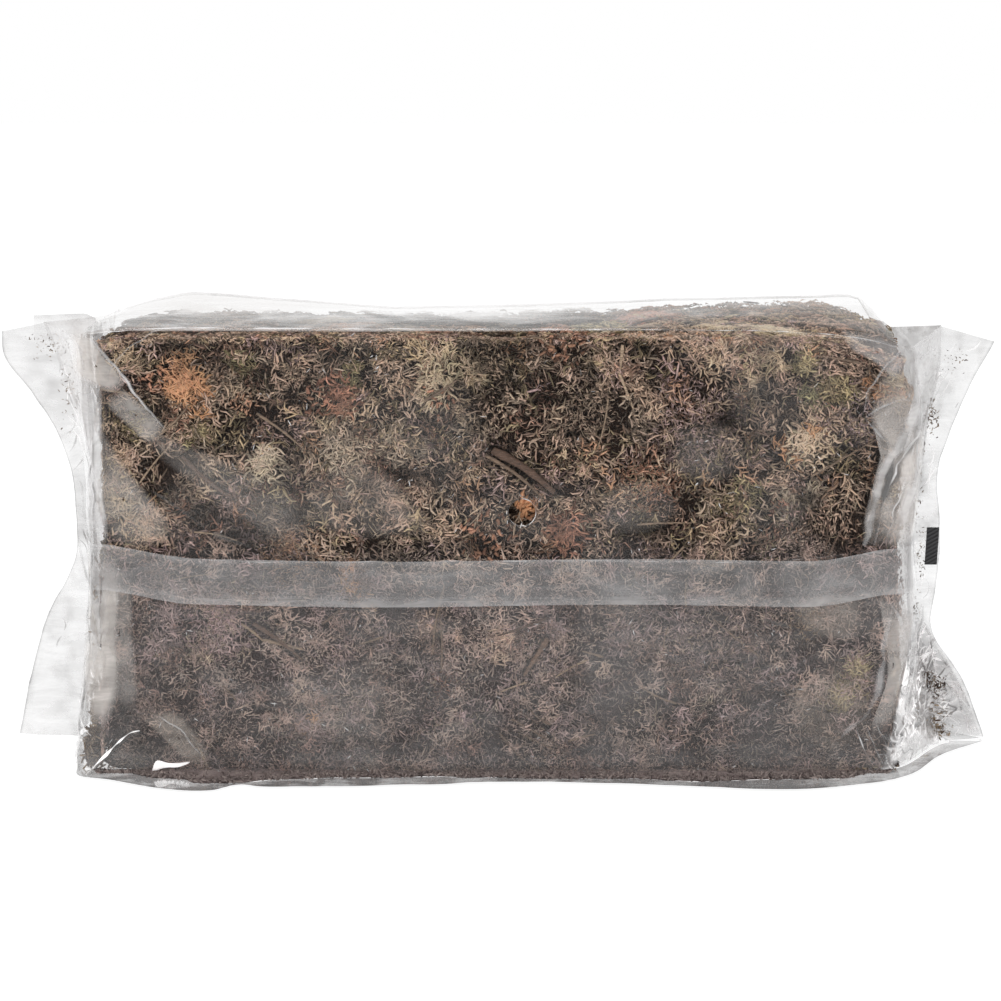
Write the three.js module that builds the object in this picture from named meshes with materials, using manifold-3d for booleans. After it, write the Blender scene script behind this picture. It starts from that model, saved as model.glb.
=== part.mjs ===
// A pressed bale of dried sphagnum moss in its clear gusseted film bag, standing on its long edge.
//
// The bale is one springy mass: a dense core with leafy strands pressed flat against the film, and,
// where a plant head, a green tuft or a rusty bunch lies at the surface, that bunch as a piece of its own.
// Woody twigs lie in grooves of the mass. The bag is one tube of film: a seam folded down along the front,
// V-tucked gussets at both ends, a flat crimped fin down each end, and a pinched crease along the floor.
//
// Units are millimetres. +X runs along the bale, -Y is the side with the folded seam, +Z is up.
// The origin is on the floor, at the middle of the bag's footprint.
import * as THREE from "three";
import { mergeVertices } from "three/addons/utils/BufferGeometryUtils.js";
import Module from "manifold-3d";

// Driving dimensions
const BALE_LENGTH = 332;
const BALE_DEPTH = 120;
const BALE_TOP = 189; // height of the moss above the floor
const FILM = 0.7; // film wall
const LAYER = 1; // from one film to the next where they lie folded together
const GAP = 0.35; // running gap between the film and the moss
const EDGE_RADIUS = 12; // long edges of the bale
const END_RADIUS = 14; // rounding of the bale's ends
const FACE_SWELL = 2.5; // how far the big faces bulge
const SHOULDER_DROP = 3; // how far the top falls towards the back
const VENT = { x: 8.3, z: 113.2, radius: 5 }; // air hole punched in the front
const SEAM = { low: 73.5, high: 93 }; // the folded seam on the front
const CREASE_THICK = 1.5; // two films pinched together on the floor
const BALE_HALF = BALE_LENGTH / 2;
const BODY_HALF = BALE_HALF - END_RADIUS; // the tube of film is straight up to here
const FILM_GAP = GAP + 0.15; // the tube of film stands off a little more than the gap
const FLOOR_LAYER = FILM + GAP; // lowest moss
const FACE_MIDDLE = 95; // height of the middle of the big faces and of the ends
const SLIVER = 0.02; // edges shorter than this may close up when solids are joined

// Colours, with roughness
const MOSS_BROWN = 0x6b5c4c;
const HEAD_OCHRE = 0xb07a3c;
const TUFT_GREEN = 0x76764a;
const TUFT_STRAW = 0xb7a578;
const BUNCH_RUST = 0x7c4a30;
const TWIG_BROWN = 0x6a4830;
const FILM_CLEAR = 0xe6e8ea;

const wasm = await Module();
wasm.setup();
const { Manifold, Mesh } = wasm;

// --- small tools -------------------------------------------------------------------------------

// A repeatable random source, so that every build is the same
function seeded(seed) {
  let state = seed >>> 0;
  return (low = 0, high = 1) => {
    state = (state + 0x6d2b79f5) >>> 0;
    let t = Math.imul(state ^ (state >>> 15), 1 | state);
    t = (t + Math.imul(t ^ (t >>> 7), 61 | t)) ^ t;
    return low + (high - low) * (((t ^ (t >>> 14)) >>> 0) / 4294967296);
  };
}

const point = (x, y, z) => new THREE.Vector3(x, y, z);

// Smooth waves that wander over the surface, from -1 to 1
function waver(x, y, z, scale) {
  const a = Math.sin(x / scale + 1.7 * Math.sin(z / (scale * 1.3) + 0.6));
  const b = Math.sin(z / (scale * 0.8) + 1.3 * Math.sin(y / scale + 2.1));
  return 0.5 * (a + b);
}

// Point at share t of the bend from a over the corner b to c
function bend(a, b, c, t) {
  return point(0, 0, 0)
    .addScaledVector(a, (1 - t) * (1 - t))
    .addScaledVector(b, 2 * t * (1 - t))
    .addScaledVector(c, t * t);
}

// A closed three.js geometry as a manifold-3d solid
function solid(geometry) {
  const bare = geometry.index ? geometry.toNonIndexed() : geometry.clone();
  const position = new THREE.BufferGeometry().setAttribute("position", bare.getAttribute("position"));
  const merged = mergeVertices(position, 1e-4);
  const index = merged.index.array;
  const triangles = [];
  for (let i = 0; i < index.length; i += 3) {
    const [a, b, c] = [index[i], index[i + 1], index[i + 2]];
    if (a !== b && b !== c && a !== c) triangles.push(a, b, c);
  }
  return new Manifold(
    new Mesh({
      numProp: 3,
      vertProperties: merged.attributes.position.array,
      triVerts: new Uint32Array(triangles),
      tolerance: SLIVER,
    }),
  );
}

// The largest body of a solid, without loose scraps or sealed pockets
function largest(made) {
  return made.decompose().sort((a, b) => b.volume() - a.volume())[0];
}

function geometryOf(made) {
  const mesh = made.getMesh();
  return new THREE.BufferGeometry()
    .setAttribute("position", new THREE.BufferAttribute(new Float32Array(mesh.vertProperties), 3))
    .setIndex(new THREE.BufferAttribute(new Uint32Array(mesh.triVerts), 1));
}

// Triangles of a skin over rows of points; a closed skin joins the last column to the first
function skin(corners, rows, flip, closed) {
  const columns = rows[0].length;
  const last = closed ? columns : columns - 1;
  for (let i = 0; i + 1 < rows.length; i++)
    for (let j = 0; j < last; j++) {
      const next = (j + 1) % columns;
      const [a, b, c, d] = [rows[i][j], rows[i][next], rows[i + 1][next], rows[i + 1][j]];
      const faces = flip ? [a, c, b, a, d, c] : [a, b, c, a, c, d];
      faces.forEach((p) => corners.push(p.x, p.y, p.z));
    }
}

// A solid from triangle corners, turned outwards whichever way round they were listed
function fromCorners(corners) {
  const attribute = (list) => new THREE.Float32BufferAttribute(list, 3);
  const made = solid(new THREE.BufferGeometry().setAttribute("position", attribute(corners)));
  if (made.volume() > 0) return made;
  const turned = [];
  for (let i = 0; i < corners.length; i += 9)
    turned.push(...corners.slice(i, i + 3), ...corners.slice(i + 6, i + 9), ...corners.slice(i + 3, i + 6));
  return solid(new THREE.BufferGeometry().setAttribute("position", attribute(turned)));
}

// Normals of a grid of points, each the mean of its neighbouring faces
function gridNormals(grid) {
  const sums = grid.map((row) => row.map(() => point(0, 0, 0)));
  for (let i = 0; i + 1 < grid.length; i++)
    for (let j = 0; j + 1 < grid[0].length; j++) {
      const across = grid[i + 1][j + 1].clone().sub(grid[i][j]);
      const back = grid[i + 1][j].clone().sub(grid[i][j + 1]);
      const face = across.cross(back);
      [[i, j], [i, j + 1], [i + 1, j], [i + 1, j + 1]].forEach(([r, c]) => sums[r][c].add(face));
    }
  return sums.map((row) => row.map((n) => n.normalize()));
}

// A sheet of film with its thickness, half of it each side of the grid. The thickness is one value, or
// one for each column.
function sheet(grid, thickness) {
  const rows = grid.length;
  const columns = grid[0].length;
  const normals = gridNormals(grid);
  const offset = (way) =>
    grid.map((row, i) =>
      row.map((p, j) => p.clone().addScaledVector(normals[i][j], (way * (thickness[j] ?? thickness)) / 2)),
    );
  const outer = offset(1);
  const inner = offset(-1);
  const corners = [];
  skin(corners, outer, false, false);
  skin(corners, inner, true, false);
  const rim = ([i, j], [r, c]) => {
    const faces = [inner[i][j], inner[r][c], outer[r][c], inner[i][j], outer[r][c], outer[i][j]];
    faces.forEach((p) => corners.push(p.x, p.y, p.z));
  };
  for (let j = 0; j + 1 < columns; j++) {
    rim([0, j], [0, j + 1]);
    rim([rows - 1, j + 1], [rows - 1, j]);
  }
  for (let i = 0; i + 1 < rows; i++) {
    rim([i + 1, 0], [i, 0]);
    rim([i, columns - 1], [i + 1, columns - 1]);
  }
  return fromCorners(corners);
}

// --- the bale's outer form, which the film follows ---------------------------------------------

// Angles along a long edge's rounding, from its middle to where the flat begins
const ARC = [45, 22.5, 0];
const TALL_SHARES = [0.2, 0.4, 0.6, 0.8]; // where the points of a tall side lie on its flat

// Cross-section of the bale at x, grown outwards: a ring from the lower front corner, up the front,
// over the top, down the back and along the floor. The top and the floor have points at flatShares.
function ring(x, grow, flatShares = []) {
  const past = Math.max(0, Math.abs(x) - (BALE_HALF - END_RADIUS));
  const inset = END_RADIUS - Math.sqrt(Math.max(0, END_RADIUS ** 2 - past ** 2));
  const half = BALE_DEPTH / 2 - inset - FACE_SWELL;
  const low = FLOOR_LAYER + inset;
  const high = BALE_TOP - inset * 0.8;
  const middle = (low + high) / 2;
  const radius = EDGE_RADIUS;
  const corners = [
    [-half + radius, low + radius, -1, -1],
    [-half + radius, high - radius, -1, 1],
    [half - radius, high - radius, 1, 1],
    [half - radius, low + radius, 1, -1],
  ];
  const at = (corner, angle, alongZ) => {
    const [y, z, sy, sz] = corners[corner];
    const a = THREE.MathUtils.degToRad(angle);
    const [main, other] = [Math.cos(a) * (radius + grow), Math.sin(a) * (radius + grow)];
    return alongZ ? [y + sy * main, z + sz * other] : [y + sy * other, z + sz * main];
  };
  const points = [];
  const panel = (from, to, shares, alongZ) => {
    const start = ARC.map((angle) => at(from, angle, alongZ));
    const end = [...ARC].reverse().map((angle) => at(to, angle, alongZ));
    const [a, b] = [start[2], end[0]];
    const between = shares.map((t) => [a[0] + (b[0] - a[0]) * t, a[1] + (b[1] - a[1]) * t]);
    points.push(...start, ...between, ...end.slice(0, -1));
  };
  panel(0, 1, TALL_SHARES, true);
  panel(1, 2, flatShares, false);
  panel(2, 3, TALL_SHARES, true);
  panel(3, 0, flatShares, false);
  return points.map(([y, z]) => {
    const up = (z - middle) / (middle - low);
    const along = x / BALE_HALF;
    const swell = FACE_SWELL * Math.max(0, 1 - up * up) * Math.max(0, 1 - along ** 4);
    const shoulder = y > 0 && z > middle ? SHOULDER_DROP * (y / half) * Math.max(0, up) : 0;
    return point(x, y + Math.sign(y) * swell, z - shoulder);
  });
}
const TALL_COUNT = 2 * ARC.length - 1 + TALL_SHARES.length; // ring steps up a tall panel

// A solid through closed rings, capped at both ends
function loft(rings) {
  const corners = [];
  skin(corners, rings, false, true);
  const cap = (points, flip) => {
    for (let j = 1; j + 1 < points.length; j++) {
      const faces = flip ? [points[0], points[j + 1], points[j]] : [points[0], points[j], points[j + 1]];
      faces.forEach((p) => corners.push(p.x, p.y, p.z));
    }
  };
  cap(rings[0], true);
  cap(rings[rings.length - 1], false);
  return fromCorners(corners);
}

// Where the bale and the film are sectioned: distances from the ends, and x along the middle
const END_STATIONS = [0, 3, 8, END_RADIUS];
const MIDDLE_STATIONS = [-110, -66, -22, 22, 66, 110];
const BALE_STATIONS = [
  ...END_STATIONS.map((d) => d - BALE_HALF),
  ...MIDDLE_STATIONS,
  ...[...END_STATIONS].reverse().map((d) => BALE_HALF - d),
];

// The space that the moss fills, grown by a clearance
function baleForm(grow) {
  const last = BALE_STATIONS.length - 1;
  return loft(BALE_STATIONS.map((x, i) => ring(x + (i === 0 ? -grow : 0) + (i === last ? grow : 0), grow)));
}

// --- moss ----------------------------------------------------------------------------------------

// A tapering, three-sided strand through the given points
function strand(points, width) {
  const path = new THREE.CatmullRomCurve3(points);
  const steps = points.length - 1;
  const frames = path.computeFrenetFrames(steps, false);
  const rings = [];
  for (let i = 0; i <= steps; i++) {
    const t = i / steps;
    const radius = (width / 2) * Math.max(0.3, Math.sin(Math.PI * (0.12 + 0.76 * t)));
    const centre = path.getPoint(t);
    rings.push(
      [0, 1, 2].map((k) => {
        const a = (k * 2 * Math.PI) / 3;
        return centre
          .clone()
          .addScaledVector(frames.normals[i], Math.cos(a) * radius)
          .addScaledVector(frames.binormals[i], Math.sin(a) * radius);
      }),
    );
  }
  return loft(rings);
}

// The sides that strands lie on: a middle, two directions along the side, its normal and half its spans
const [ALONG, ACROSS, UP] = [[1, 0, 0], [0, 1, 0], [0, 0, 1]];
const SIDES = {
  front: { middle: [0, -BALE_DEPTH / 2, FACE_MIDDLE], u: ALONG, v: UP, n: [0, -1, 0], span: [148, 80] },
  back: { middle: [0, BALE_DEPTH / 2, FACE_MIDDLE], u: ALONG, v: UP, n: ACROSS, span: [148, 76] },
  top: { middle: [0, 0, BALE_TOP], u: ALONG, v: ACROSS, n: UP, span: [146, 44] },
  left: { middle: [-BALE_HALF, 0, FACE_MIDDLE], u: ACROSS, v: UP, n: [-1, 0, 0], span: [36, 72] },
  right: { middle: [BALE_HALF, 0, FACE_MIDDLE], u: ACROSS, v: UP, n: ALONG, span: [36, 72] },
};

// A point on a side, a and b millimetres from its middle, raised above the pressed surface there
function onSide(name, a, b, raised) {
  const { middle, u, v, n } = SIDES[name];
  const high = Math.max(0, 1 - (b / FACE_MIDDLE) ** 2);
  const long = Math.max(0, 1 - (a / BALE_HALF) ** 4);
  const swollen = name === "front" || name === "back";
  const shoulder = name === "top" ? Math.max(0, (SHOULDER_DROP * b) / (BALE_DEPTH / 2)) : 0;
  const fall = swollen ? FACE_SWELL * (1 - high * long) : shoulder;
  return point(...middle)
    .addScaledVector(point(...u), a)
    .addScaledVector(point(...v), b)
    .addScaledVector(point(...n), raised - fall);
}

const CORE_DEPTH = 3.6; // how far the core lies below the pressed surface
const SKIN_DEPTH = 0.4; // how far the backs of strands lie below it

// A strand pressed into the surface: its back near the film, both ends sunk in the core
function lyingStrand(random, side, a, b, length, width) {
  const heading = random(0, 2 * Math.PI);
  const curl = random(-1.3, 1.3);
  const back = -SKIN_DEPTH - width / 2;
  const steps = 3;
  const points = [];
  let [x, y] = [a, b];
  for (let i = 0; i <= steps; i++) {
    const atEnd = i === 0 || i === steps;
    points.push(onSide(side, x, y, atEnd ? -CORE_DEPTH - width * 0.3 : back));
    const turn = heading + (curl * i) / steps;
    x += (Math.cos(turn) * length) / steps;
    y += (Math.sin(turn) * length) / steps;
  }
  return strand(points, width);
}

// The core: the bale's form drawn in, with soft hollows between the matted clumps
function core() {
  const spans = 20;
  const stations = [];
  for (let i = 0; i <= spans; i++) stations.push((BALE_HALF - 3) * ((2 * i) / spans - 1));
  return loft(
    stations.map((x) =>
      ring(x, -CORE_DEPTH, [0.12, 0.24, 0.36, 0.48, 0.6, 0.72, 0.86]).map((p) => {
        const rise = 1.5 * waver(p.x, p.y, p.z, 7) + 1.1 * waver(p.z, p.x, p.y, 4);
        const outward = point(0, p.y, (p.z - BALE_TOP / 2) * 0.6).normalize();
        return p.addScaledVector(outward, rise);
      }),
    ),
  );
}

const BUNCH_DEPTH = 8; // from the pressed surface to the floor of a bunch
const RAYS = 8; // leafy strands of a bunch

// A bunch of its own colour: a flat cushion with curved rays that swirl out of its middle
function bunch({ side, at, radius, width }, random) {
  const facing = new THREE.Quaternion().setFromUnitVectors(point(0, 0, 1), point(...SIDES[side].n));
  const cushion = new THREE.SphereGeometry(1, 6, 4);
  cushion.rotateX(Math.PI / 2);
  const height = 3.4;
  cushion.scale(radius * 0.62, radius * 0.62, height);
  cushion.applyQuaternion(facing).translate(...onSide(side, ...at, height - BUNCH_DEPTH).toArray());
  const parts = [solid(cushion)];
  for (let i = 0; i < RAYS; i++) {
    const angle = ((i + random(-0.3, 0.3)) * 2 * Math.PI) / RAYS;
    const swirl = random(0.5, 1.1);
    const path = [
      [0.1, -2.6],
      [0.62, -1],
      [0.96, -3.2],
    ].map(([t, raised]) => {
      const turn = angle + swirl * t;
      const reach = (radius - width / 2) * t;
      const rise = raised - SKIN_DEPTH - width / 3 + random(0, 0.5);
      return onSide(side, at[0] + Math.cos(turn) * reach, at[1] + Math.sin(turn) * reach, rise);
    });
    parts.push(strand(path, width));
  }
  return Manifold.union(parts);
}

// The hollow that a bunch lies in, narrower at its floor
function pocket({ side, at, radius }) {
  const [above, below] = [2, BUNCH_DEPTH + GAP];
  const wide = (radius + GAP) / 0.9;
  const hollow = new THREE.CylinderGeometry(wide, wide * 0.85, above + below, 10);
  hollow.rotateX(Math.PI / 2).translate(0, 0, (above - below) / 2);
  hollow.applyQuaternion(new THREE.Quaternion().setFromUnitVectors(point(0, 0, 1), point(...SIDES[side].n)));
  return solid(hollow.translate(...onSide(side, ...at, 0).toArray()));
}

// A stick: a slightly bent taper with six sides
function stick(points, width) {
  const path = new THREE.CatmullRomCurve3(points);
  const steps = 4;
  const sides = 6;
  const frames = path.computeFrenetFrames(steps, false);
  const rings = [];
  for (let i = 0; i <= steps; i++) {
    const t = i / steps;
    const radius = (width / 2) * (1 - 0.35 * t);
    const around = [];
    for (let k = 0; k < sides; k++) {
      const a = (k * 2 * Math.PI) / sides;
      around.push(
        path
          .getPoint(t)
          .addScaledVector(frames.normals[i], Math.cos(a) * radius)
          .addScaledVector(frames.binormals[i], Math.sin(a) * radius),
      );
    }
    rings.push(around);
  }
  return loft(rings);
}

// Bunches that show from a step away: side, place on it, radius, and the width of a strand
const BUNCHES = [
  { name: "head_ochre_1", colour: HEAD_OCHRE, side: "front", at: [-131, 73], radius: 12, width: 3.6 },
  { name: "head_ochre_2", colour: HEAD_OCHRE, side: "front", at: [128, 47], radius: 13, width: 3.6 },
  { name: "head_ochre_3", colour: HEAD_OCHRE, side: "back", at: [70, 40], radius: 13, width: 3.6 },
  { name: "tuft_straw_1", colour: TUFT_STRAW, side: "front", at: [-28, 72], radius: 14, width: 3.8 },
  { name: "tuft_straw_2", colour: TUFT_STRAW, side: "top", at: [-75, -6], radius: 14, width: 3.8 },
  { name: "tuft_green_1", colour: TUFT_GREEN, side: "front", at: [-100, 40], radius: 12, width: 3.6 },
  { name: "tuft_green_2", colour: TUFT_GREEN, side: "back", at: [-95, -20], radius: 13, width: 3.6 },
  { name: "bunch_rust_1", colour: BUNCH_RUST, side: "front", at: [-67, 66], radius: 11, width: 3.6 },
  { name: "bunch_rust_2", colour: BUNCH_RUST, side: "front", at: [26, 10], radius: 13, width: 3.8 },
  { name: "bunch_rust_3", colour: BUNCH_RUST, side: "top", at: [62, 8], radius: 13, width: 3.8 },
];

// Twigs: side, the two ends on it, and the thick end's width
const TWIGS = [
  { name: "twig_1", side: "front", from: [-6, 43], to: [22, 23], width: 4.2 },
  { name: "twig_2", side: "front", from: [-132, 42], to: [-112, 21], width: 3 },
  { name: "twig_3", side: "front", from: [-101, -37], to: [-66, -43], width: 3 },
  { name: "twig_4", side: "front", from: [20, -36], to: [10, -50], width: 2.8 },
  { name: "twig_5", side: "back", from: [-20, 20], to: [18, 42], width: 4 },
  { name: "twig_6", side: "top", from: [-20, -25], to: [18, -8], width: 3.2 },
];
const TWIG_DEPTH = 0.6; // how far a twig lies below the pressed surface

// A twig, or with extra millimetres all round it the groove that it lies in
function twigAt({ side, from, to, width }, extra) {
  const deep = -(TWIG_DEPTH + width / 2);
  const middle = [(from[0] + to[0]) / 2 + 1.2, (from[1] + to[1]) / 2 + 1.6];
  const along = new THREE.Vector2(to[0] - from[0], to[1] - from[1]).normalize().multiplyScalar(extra);
  const ends = [
    [from[0] - along.x, from[1] - along.y],
    middle,
    [to[0] + along.x, to[1] + along.y],
  ];
  return stick(ends.map(([a, b]) => onSide(side, a, b, deep)), width + 2 * extra);
}

// --- the film bag --------------------------------------------------------------------------------

// The seal at each end, from the floor up: its inner line and the fin's outer edge, as x and z
const SEALS = [
  {
    way: 1,
    inner: [[197, 3], [190, 24], [180, 55], [179, 82], [180, 117], [185, 143], [193, 165], [194, 184]],
    outer: [[215, 3], [204, 26], [190, 52], [191, 82], [191, 110], [195, 138], [205, 159], [215, 179]],
    fold: [[186, 3], [182, 50], [178, 95], [178, 140], [180, 188]],
  },
  {
    way: -1,
    inner: [[199, 3], [189, 48], [181, 70], [179, 92], [180, 117], [182, 140], [190, 160], [198, 184]],
    outer: [[215, 3], [203, 48], [193, 71], [188, 90], [188, 118], [193, 137], [205, 156], [215, 178]],
    fold: [[190, 3], [186, 32], [179, 60], [178, 140], [180, 188]],
  },
];
const FIN_RIPPLE = 2.2; // how far the fins wave off their plane
const FIN_STEPS = 8;
const FOLD_Y = 59; // the flaps turn in at this distance from the middle
const END_STEPS = 4; // stations of the films from the bale's end to the seal
const SEAL_HALF = LAYER / 2; // from the seal's middle to either flap
const TUCK_DEPTH = 56; // how far below the top, or above the floor, a tuck ends at the seal
const TUCK_START = 0.25; // the share of the fold where a tuck begins to drop

// A smooth line through x, z pairs, in the plane between the two big faces
function sealLine(pairs, way) {
  const curve = new THREE.CatmullRomCurve3(pairs.map(([x, z]) => point(way * x, 0, z)));
  return (t) => {
    const p = curve.getPointAt(THREE.MathUtils.clamp(t, 0, 1));
    return p.setY(FIN_RIPPLE * Math.sin(p.z / 21 + way));
  };
}

// The point at a height on a rising line of points
function atHeight(points, z) {
  const upper = points.findIndex((p, i) => i > 0 && p.z >= z);
  const [a, b] = [points[upper - 1], points[upper]];
  return a.clone().lerp(b, (z - a.z) / (b.z - a.z));
}

// The bag's four films at x: front and back from the floor up, top and floor from front to back
function tubeStation(x) {
  const points = ring(x, FILM_GAP + FILM / 2);
  const half = points.length / 2;
  const pick = (from, to) => [...points, points[0]].slice(from, to + 1);
  return {
    front: pick(0, TALL_COUNT),
    top: pick(TALL_COUNT, half),
    back: pick(half, half + TALL_COUNT).reverse(),
    floor: pick(half + TALL_COUNT, 2 * half).reverse(),
  };
}

// The films past the bale's end, folded in by a share t of the way to the seal. Front and back go round
// the corners as flaps, and top and floor are tucked in between them.
function foldedStation(seal, t) {
  const { way } = seal;
  const start = tubeStation(way * BODY_HALF);
  const inner = sealLine(seal.inner, way);
  const fold = sealLine(seal.fold, way);
  const [low, high] = [start.front[0].z, start.front.at(-1).z];
  const flap = (points, side) =>
    points.map((p) => {
      const share = (p.z - low) / (high - low);
      const end = inner(share);
      return bend(p, fold(share).setY(side * FOLD_Y), end.setY(end.y + side * SEAL_HALF), t);
    });
  const front = flap(start.front, -1);
  const back = flap(start.back, 1);
  const drop = (TUCK_DEPTH * Math.max(0, t - TUCK_START)) / (1 - TUCK_START);
  const tuck = (points, top) => {
    const creaseOn = (film) => atHeight(film, top ? film.at(-1).z - drop : film[0].z + drop);
    const creases = [creaseOn(front), creaseOn(back)];
    const [a, b] = [points[0], points.at(-1)];
    return points.map((p, k) => {
      const across = (p.y - a.y) / (b.y - a.y);
      const slack = p.clone().sub(a.clone().lerp(b, across)).multiplyScalar((1 - t) ** 2);
      const evened = across + (k / (points.length - 1) - across) * t;
      return creases[0].clone().lerp(creases[1], evened).add(slack);
    });
  };
  return { front, back, top: tuck(start.top, true), floor: tuck(start.floor, false) };
}

// Every station of the bag, from the left seal to the right one
function stations() {
  const shares = Array.from({ length: END_STEPS }, (_, i) => (i + 1) / END_STEPS);
  const [right, left] = SEALS;
  return [
    ...[...shares].reverse().map((t) => foldedStation(left, t)),
    ...[-BODY_HALF, ...MIDDLE_STATIONS, BODY_HALF].map(tubeStation),
    ...shares.map((t) => foldedStation(right, t)),
  ];
}

// One film from seal to seal, a little wider than its points so that it laps its neighbours
function film(along, side, thickness) {
  const grid = along.map((station) => {
    const row = station[side].map((p) => p.clone());
    const first = row[0].clone().sub(row[1]).setLength(FILM / 2);
    const last = row.at(-1).clone().sub(row.at(-2)).setLength(FILM / 2);
    row[0].add(first);
    row.at(-1).add(last);
    return row;
  });
  return sheet(grid, thickness);
}

// The crimped fin outside the seal, thick where the folded films enter it
function fin(seal) {
  const inner = sealLine(seal.inner, seal.way);
  const outer = sealLine(seal.outer, seal.way);
  const rows = [];
  for (let i = 0; i <= FIN_STEPS; i++) {
    const t = i / FIN_STEPS;
    const root = inner(t);
    const edge = outer(t);
    const inside = root.clone().setX(root.x - seal.way * LAYER);
    rows.push([inside, root.clone().lerp(edge, 0.06), root.clone().lerp(edge, 0.3), edge]);
  }
  return sheet(rows, [3 * FILM, 3 * FILM, 2 * FILM, 1.5 * FILM]);
}

// The pinched crease on the floor: how far it reaches in front of the middle plane, along x
const CREASE = [
  [-206, 2], [-182, 60], [-157, 76], [-133, 86], [-108, 76], [-70, 79], [-8, 73], [27, 70],
  [69, 75], [104, 81], [126, 83], [150, 77], [169, 64], [195, 18], [206, 2],
];
const CREASE_ROOT = [[188, 2], [172, 46], [152, 50.5], [-152, 50.5], [-172, 46], [-190, 2]];

function crease(way) {
  const turned = (pairs) => pairs.map(([x, y]) => new THREE.Vector2(x, way * y));
  const edge = new THREE.SplineCurve(turned(CREASE)).getPoints(36);
  const shape = new THREE.Shape([...edge, ...turned(CREASE_ROOT)]);
  return solid(new THREE.ExtrudeGeometry(shape, { depth: CREASE_THICK, bevelEnabled: false }));
}

// The seam's layers, folded down over the front from seal to seal
function seamStrip(along) {
  const grid = [SEAM.low, SEAM.high].map((z) => along.map((station) => atHeight(station.front, z)));
  const normals = gridNormals(grid);
  const way = normals[0][END_STEPS + 3].y < 0 ? 1 : -1; // turned so that it points out of the front
  const lifted = grid.map((row, i) =>
    row.map((p, j) => p.clone().addScaledVector(normals[i][j], way * FILM * 0.85)),
  );
  return sheet(lifted, FILM);
}

function filmBag() {
  const along = stations();
  const parts = [
    film(along, "front", FILM),
    film(along, "back", FILM),
    film(along, "top", FILM * 1.1),
    film(along, "floor", FILM * 1.1),
    ...SEALS.map(fin),
    crease(1),
    crease(-1),
    seamStrip(along),
  ];
  const punch = new THREE.CylinderGeometry(VENT.radius, VENT.radius, 30, 16);
  punch.translate(VENT.x, -BALE_DEPTH / 2, VENT.z);
  const below = new THREE.BoxGeometry(600, 400, 20).translate(0, 0, -10);
  const joined = Manifold.union(parts).subtract(baleForm(GAP));
  return largest(joined.subtract(solid(punch)).subtract(solid(below)));
}

// --- assembly ------------------------------------------------------------------------------------

const group = new THREE.Group();

function add(name, made, colour, roughness, more = {}) {
  const material = new THREE.MeshStandardMaterial({ color: colour, roughness, metalness: 0, ...more });
  const mesh = new THREE.Mesh(geometryOf(made), material);
  mesh.name = name;
  group.add(mesh);
}

BUNCHES.forEach((plan, i) => {
  const made = bunch(plan, seeded(100 + i));
  add(plan.name, largest(made), plan.colour, 0.9);
});
TWIGS.forEach((plan) => add(plan.name, twigAt(plan, 0), TWIG_BROWN, 0.75));

const STRANDS = { front: 35, back: 27, top: 16, left: 7, right: 7 };
const random = seeded(20);
const mass = [core()];
for (const [side, count] of Object.entries(STRANDS))
  for (let i = 0; i < count; i++) {
    const [reachA, reachB] = SIDES[side].span;
    const start = [random(-reachA, reachA), random(-reachB, reachB)];
    mass.push(lyingStrand(random, side, ...start, random(26, 48), random(3, 5)));
  }
const hollows = [...BUNCHES.map(pocket), ...TWIGS.map((plan) => twigAt(plan, GAP))];
const bale = Manifold.union(mass).intersect(baleForm(0)).subtract(Manifold.union(hollows));
add("moss_bale", largest(bale), MOSS_BROWN, 0.95);
add("film_bag", filmBag(), FILM_CLEAR, 0.15, { transparent: true, opacity: 0.35 });

export default group;
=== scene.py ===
import math

import bpy
import numpy as np
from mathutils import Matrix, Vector


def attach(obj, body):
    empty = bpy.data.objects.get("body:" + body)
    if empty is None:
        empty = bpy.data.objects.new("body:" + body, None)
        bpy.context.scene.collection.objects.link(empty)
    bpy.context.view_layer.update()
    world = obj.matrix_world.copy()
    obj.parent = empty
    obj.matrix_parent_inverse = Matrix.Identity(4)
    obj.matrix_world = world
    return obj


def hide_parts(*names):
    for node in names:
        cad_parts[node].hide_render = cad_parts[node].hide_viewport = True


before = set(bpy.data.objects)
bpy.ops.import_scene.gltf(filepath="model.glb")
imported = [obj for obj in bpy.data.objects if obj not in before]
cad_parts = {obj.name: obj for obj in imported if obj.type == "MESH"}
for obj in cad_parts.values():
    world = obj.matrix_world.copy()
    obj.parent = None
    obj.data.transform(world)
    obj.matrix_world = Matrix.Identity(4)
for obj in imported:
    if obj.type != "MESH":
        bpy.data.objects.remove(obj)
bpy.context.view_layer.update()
bpy.ops.object.select_all(action="DESELECT")

MM = 0.001

# --- sizes, in millimetres ---

BALE_HALF = 168.0
BALE_TOP = 189.0
BALE_LOW = 1.05
SIDE_HALF = 57.5  # the big faces without their swell
SWELL = 2.5
SHOULDER = 3.0  # how far the top falls towards the back
EDGE = 3.5  # rounding of the long edges at the top
FOOT_EDGE = 1.6  # and at the floor
END_ROUND = 8.0
BODY_HALF = BALE_HALF - END_ROUND  # half of the length over which the film runs straight
FILM_OFF = 0.85  # from the moss to the middle of the film
PRESS = 2.0  # how far points are pushed out of a side before they are pressed onto the bale
FACE_MIDDLE = 95.0
CORNER_FROM, CORNER_RUN = 138, 28  # where the top starts to sink towards its corners, and over how far
VENT_AT = (8.3, 113.2)
VENT_RADIUS = 5.8
MARK_AT, MARK_SIZE = (187.6, 88.6), (5.4, 16.4)
BAND = (73.5, 93.0)  # the folded seam on the front: its lower and its upper edge
BAND_FOLD = 0.13  # where its second line runs, from its lower to its upper edge
FACE_OUT = SIDE_HALF + SWELL  # from the middle of the bale to its big faces
FILMS = ("front", "back", "top", "floor")


# --- small tools ---


def chance(seed):
    return np.random.default_rng(seed)


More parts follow.
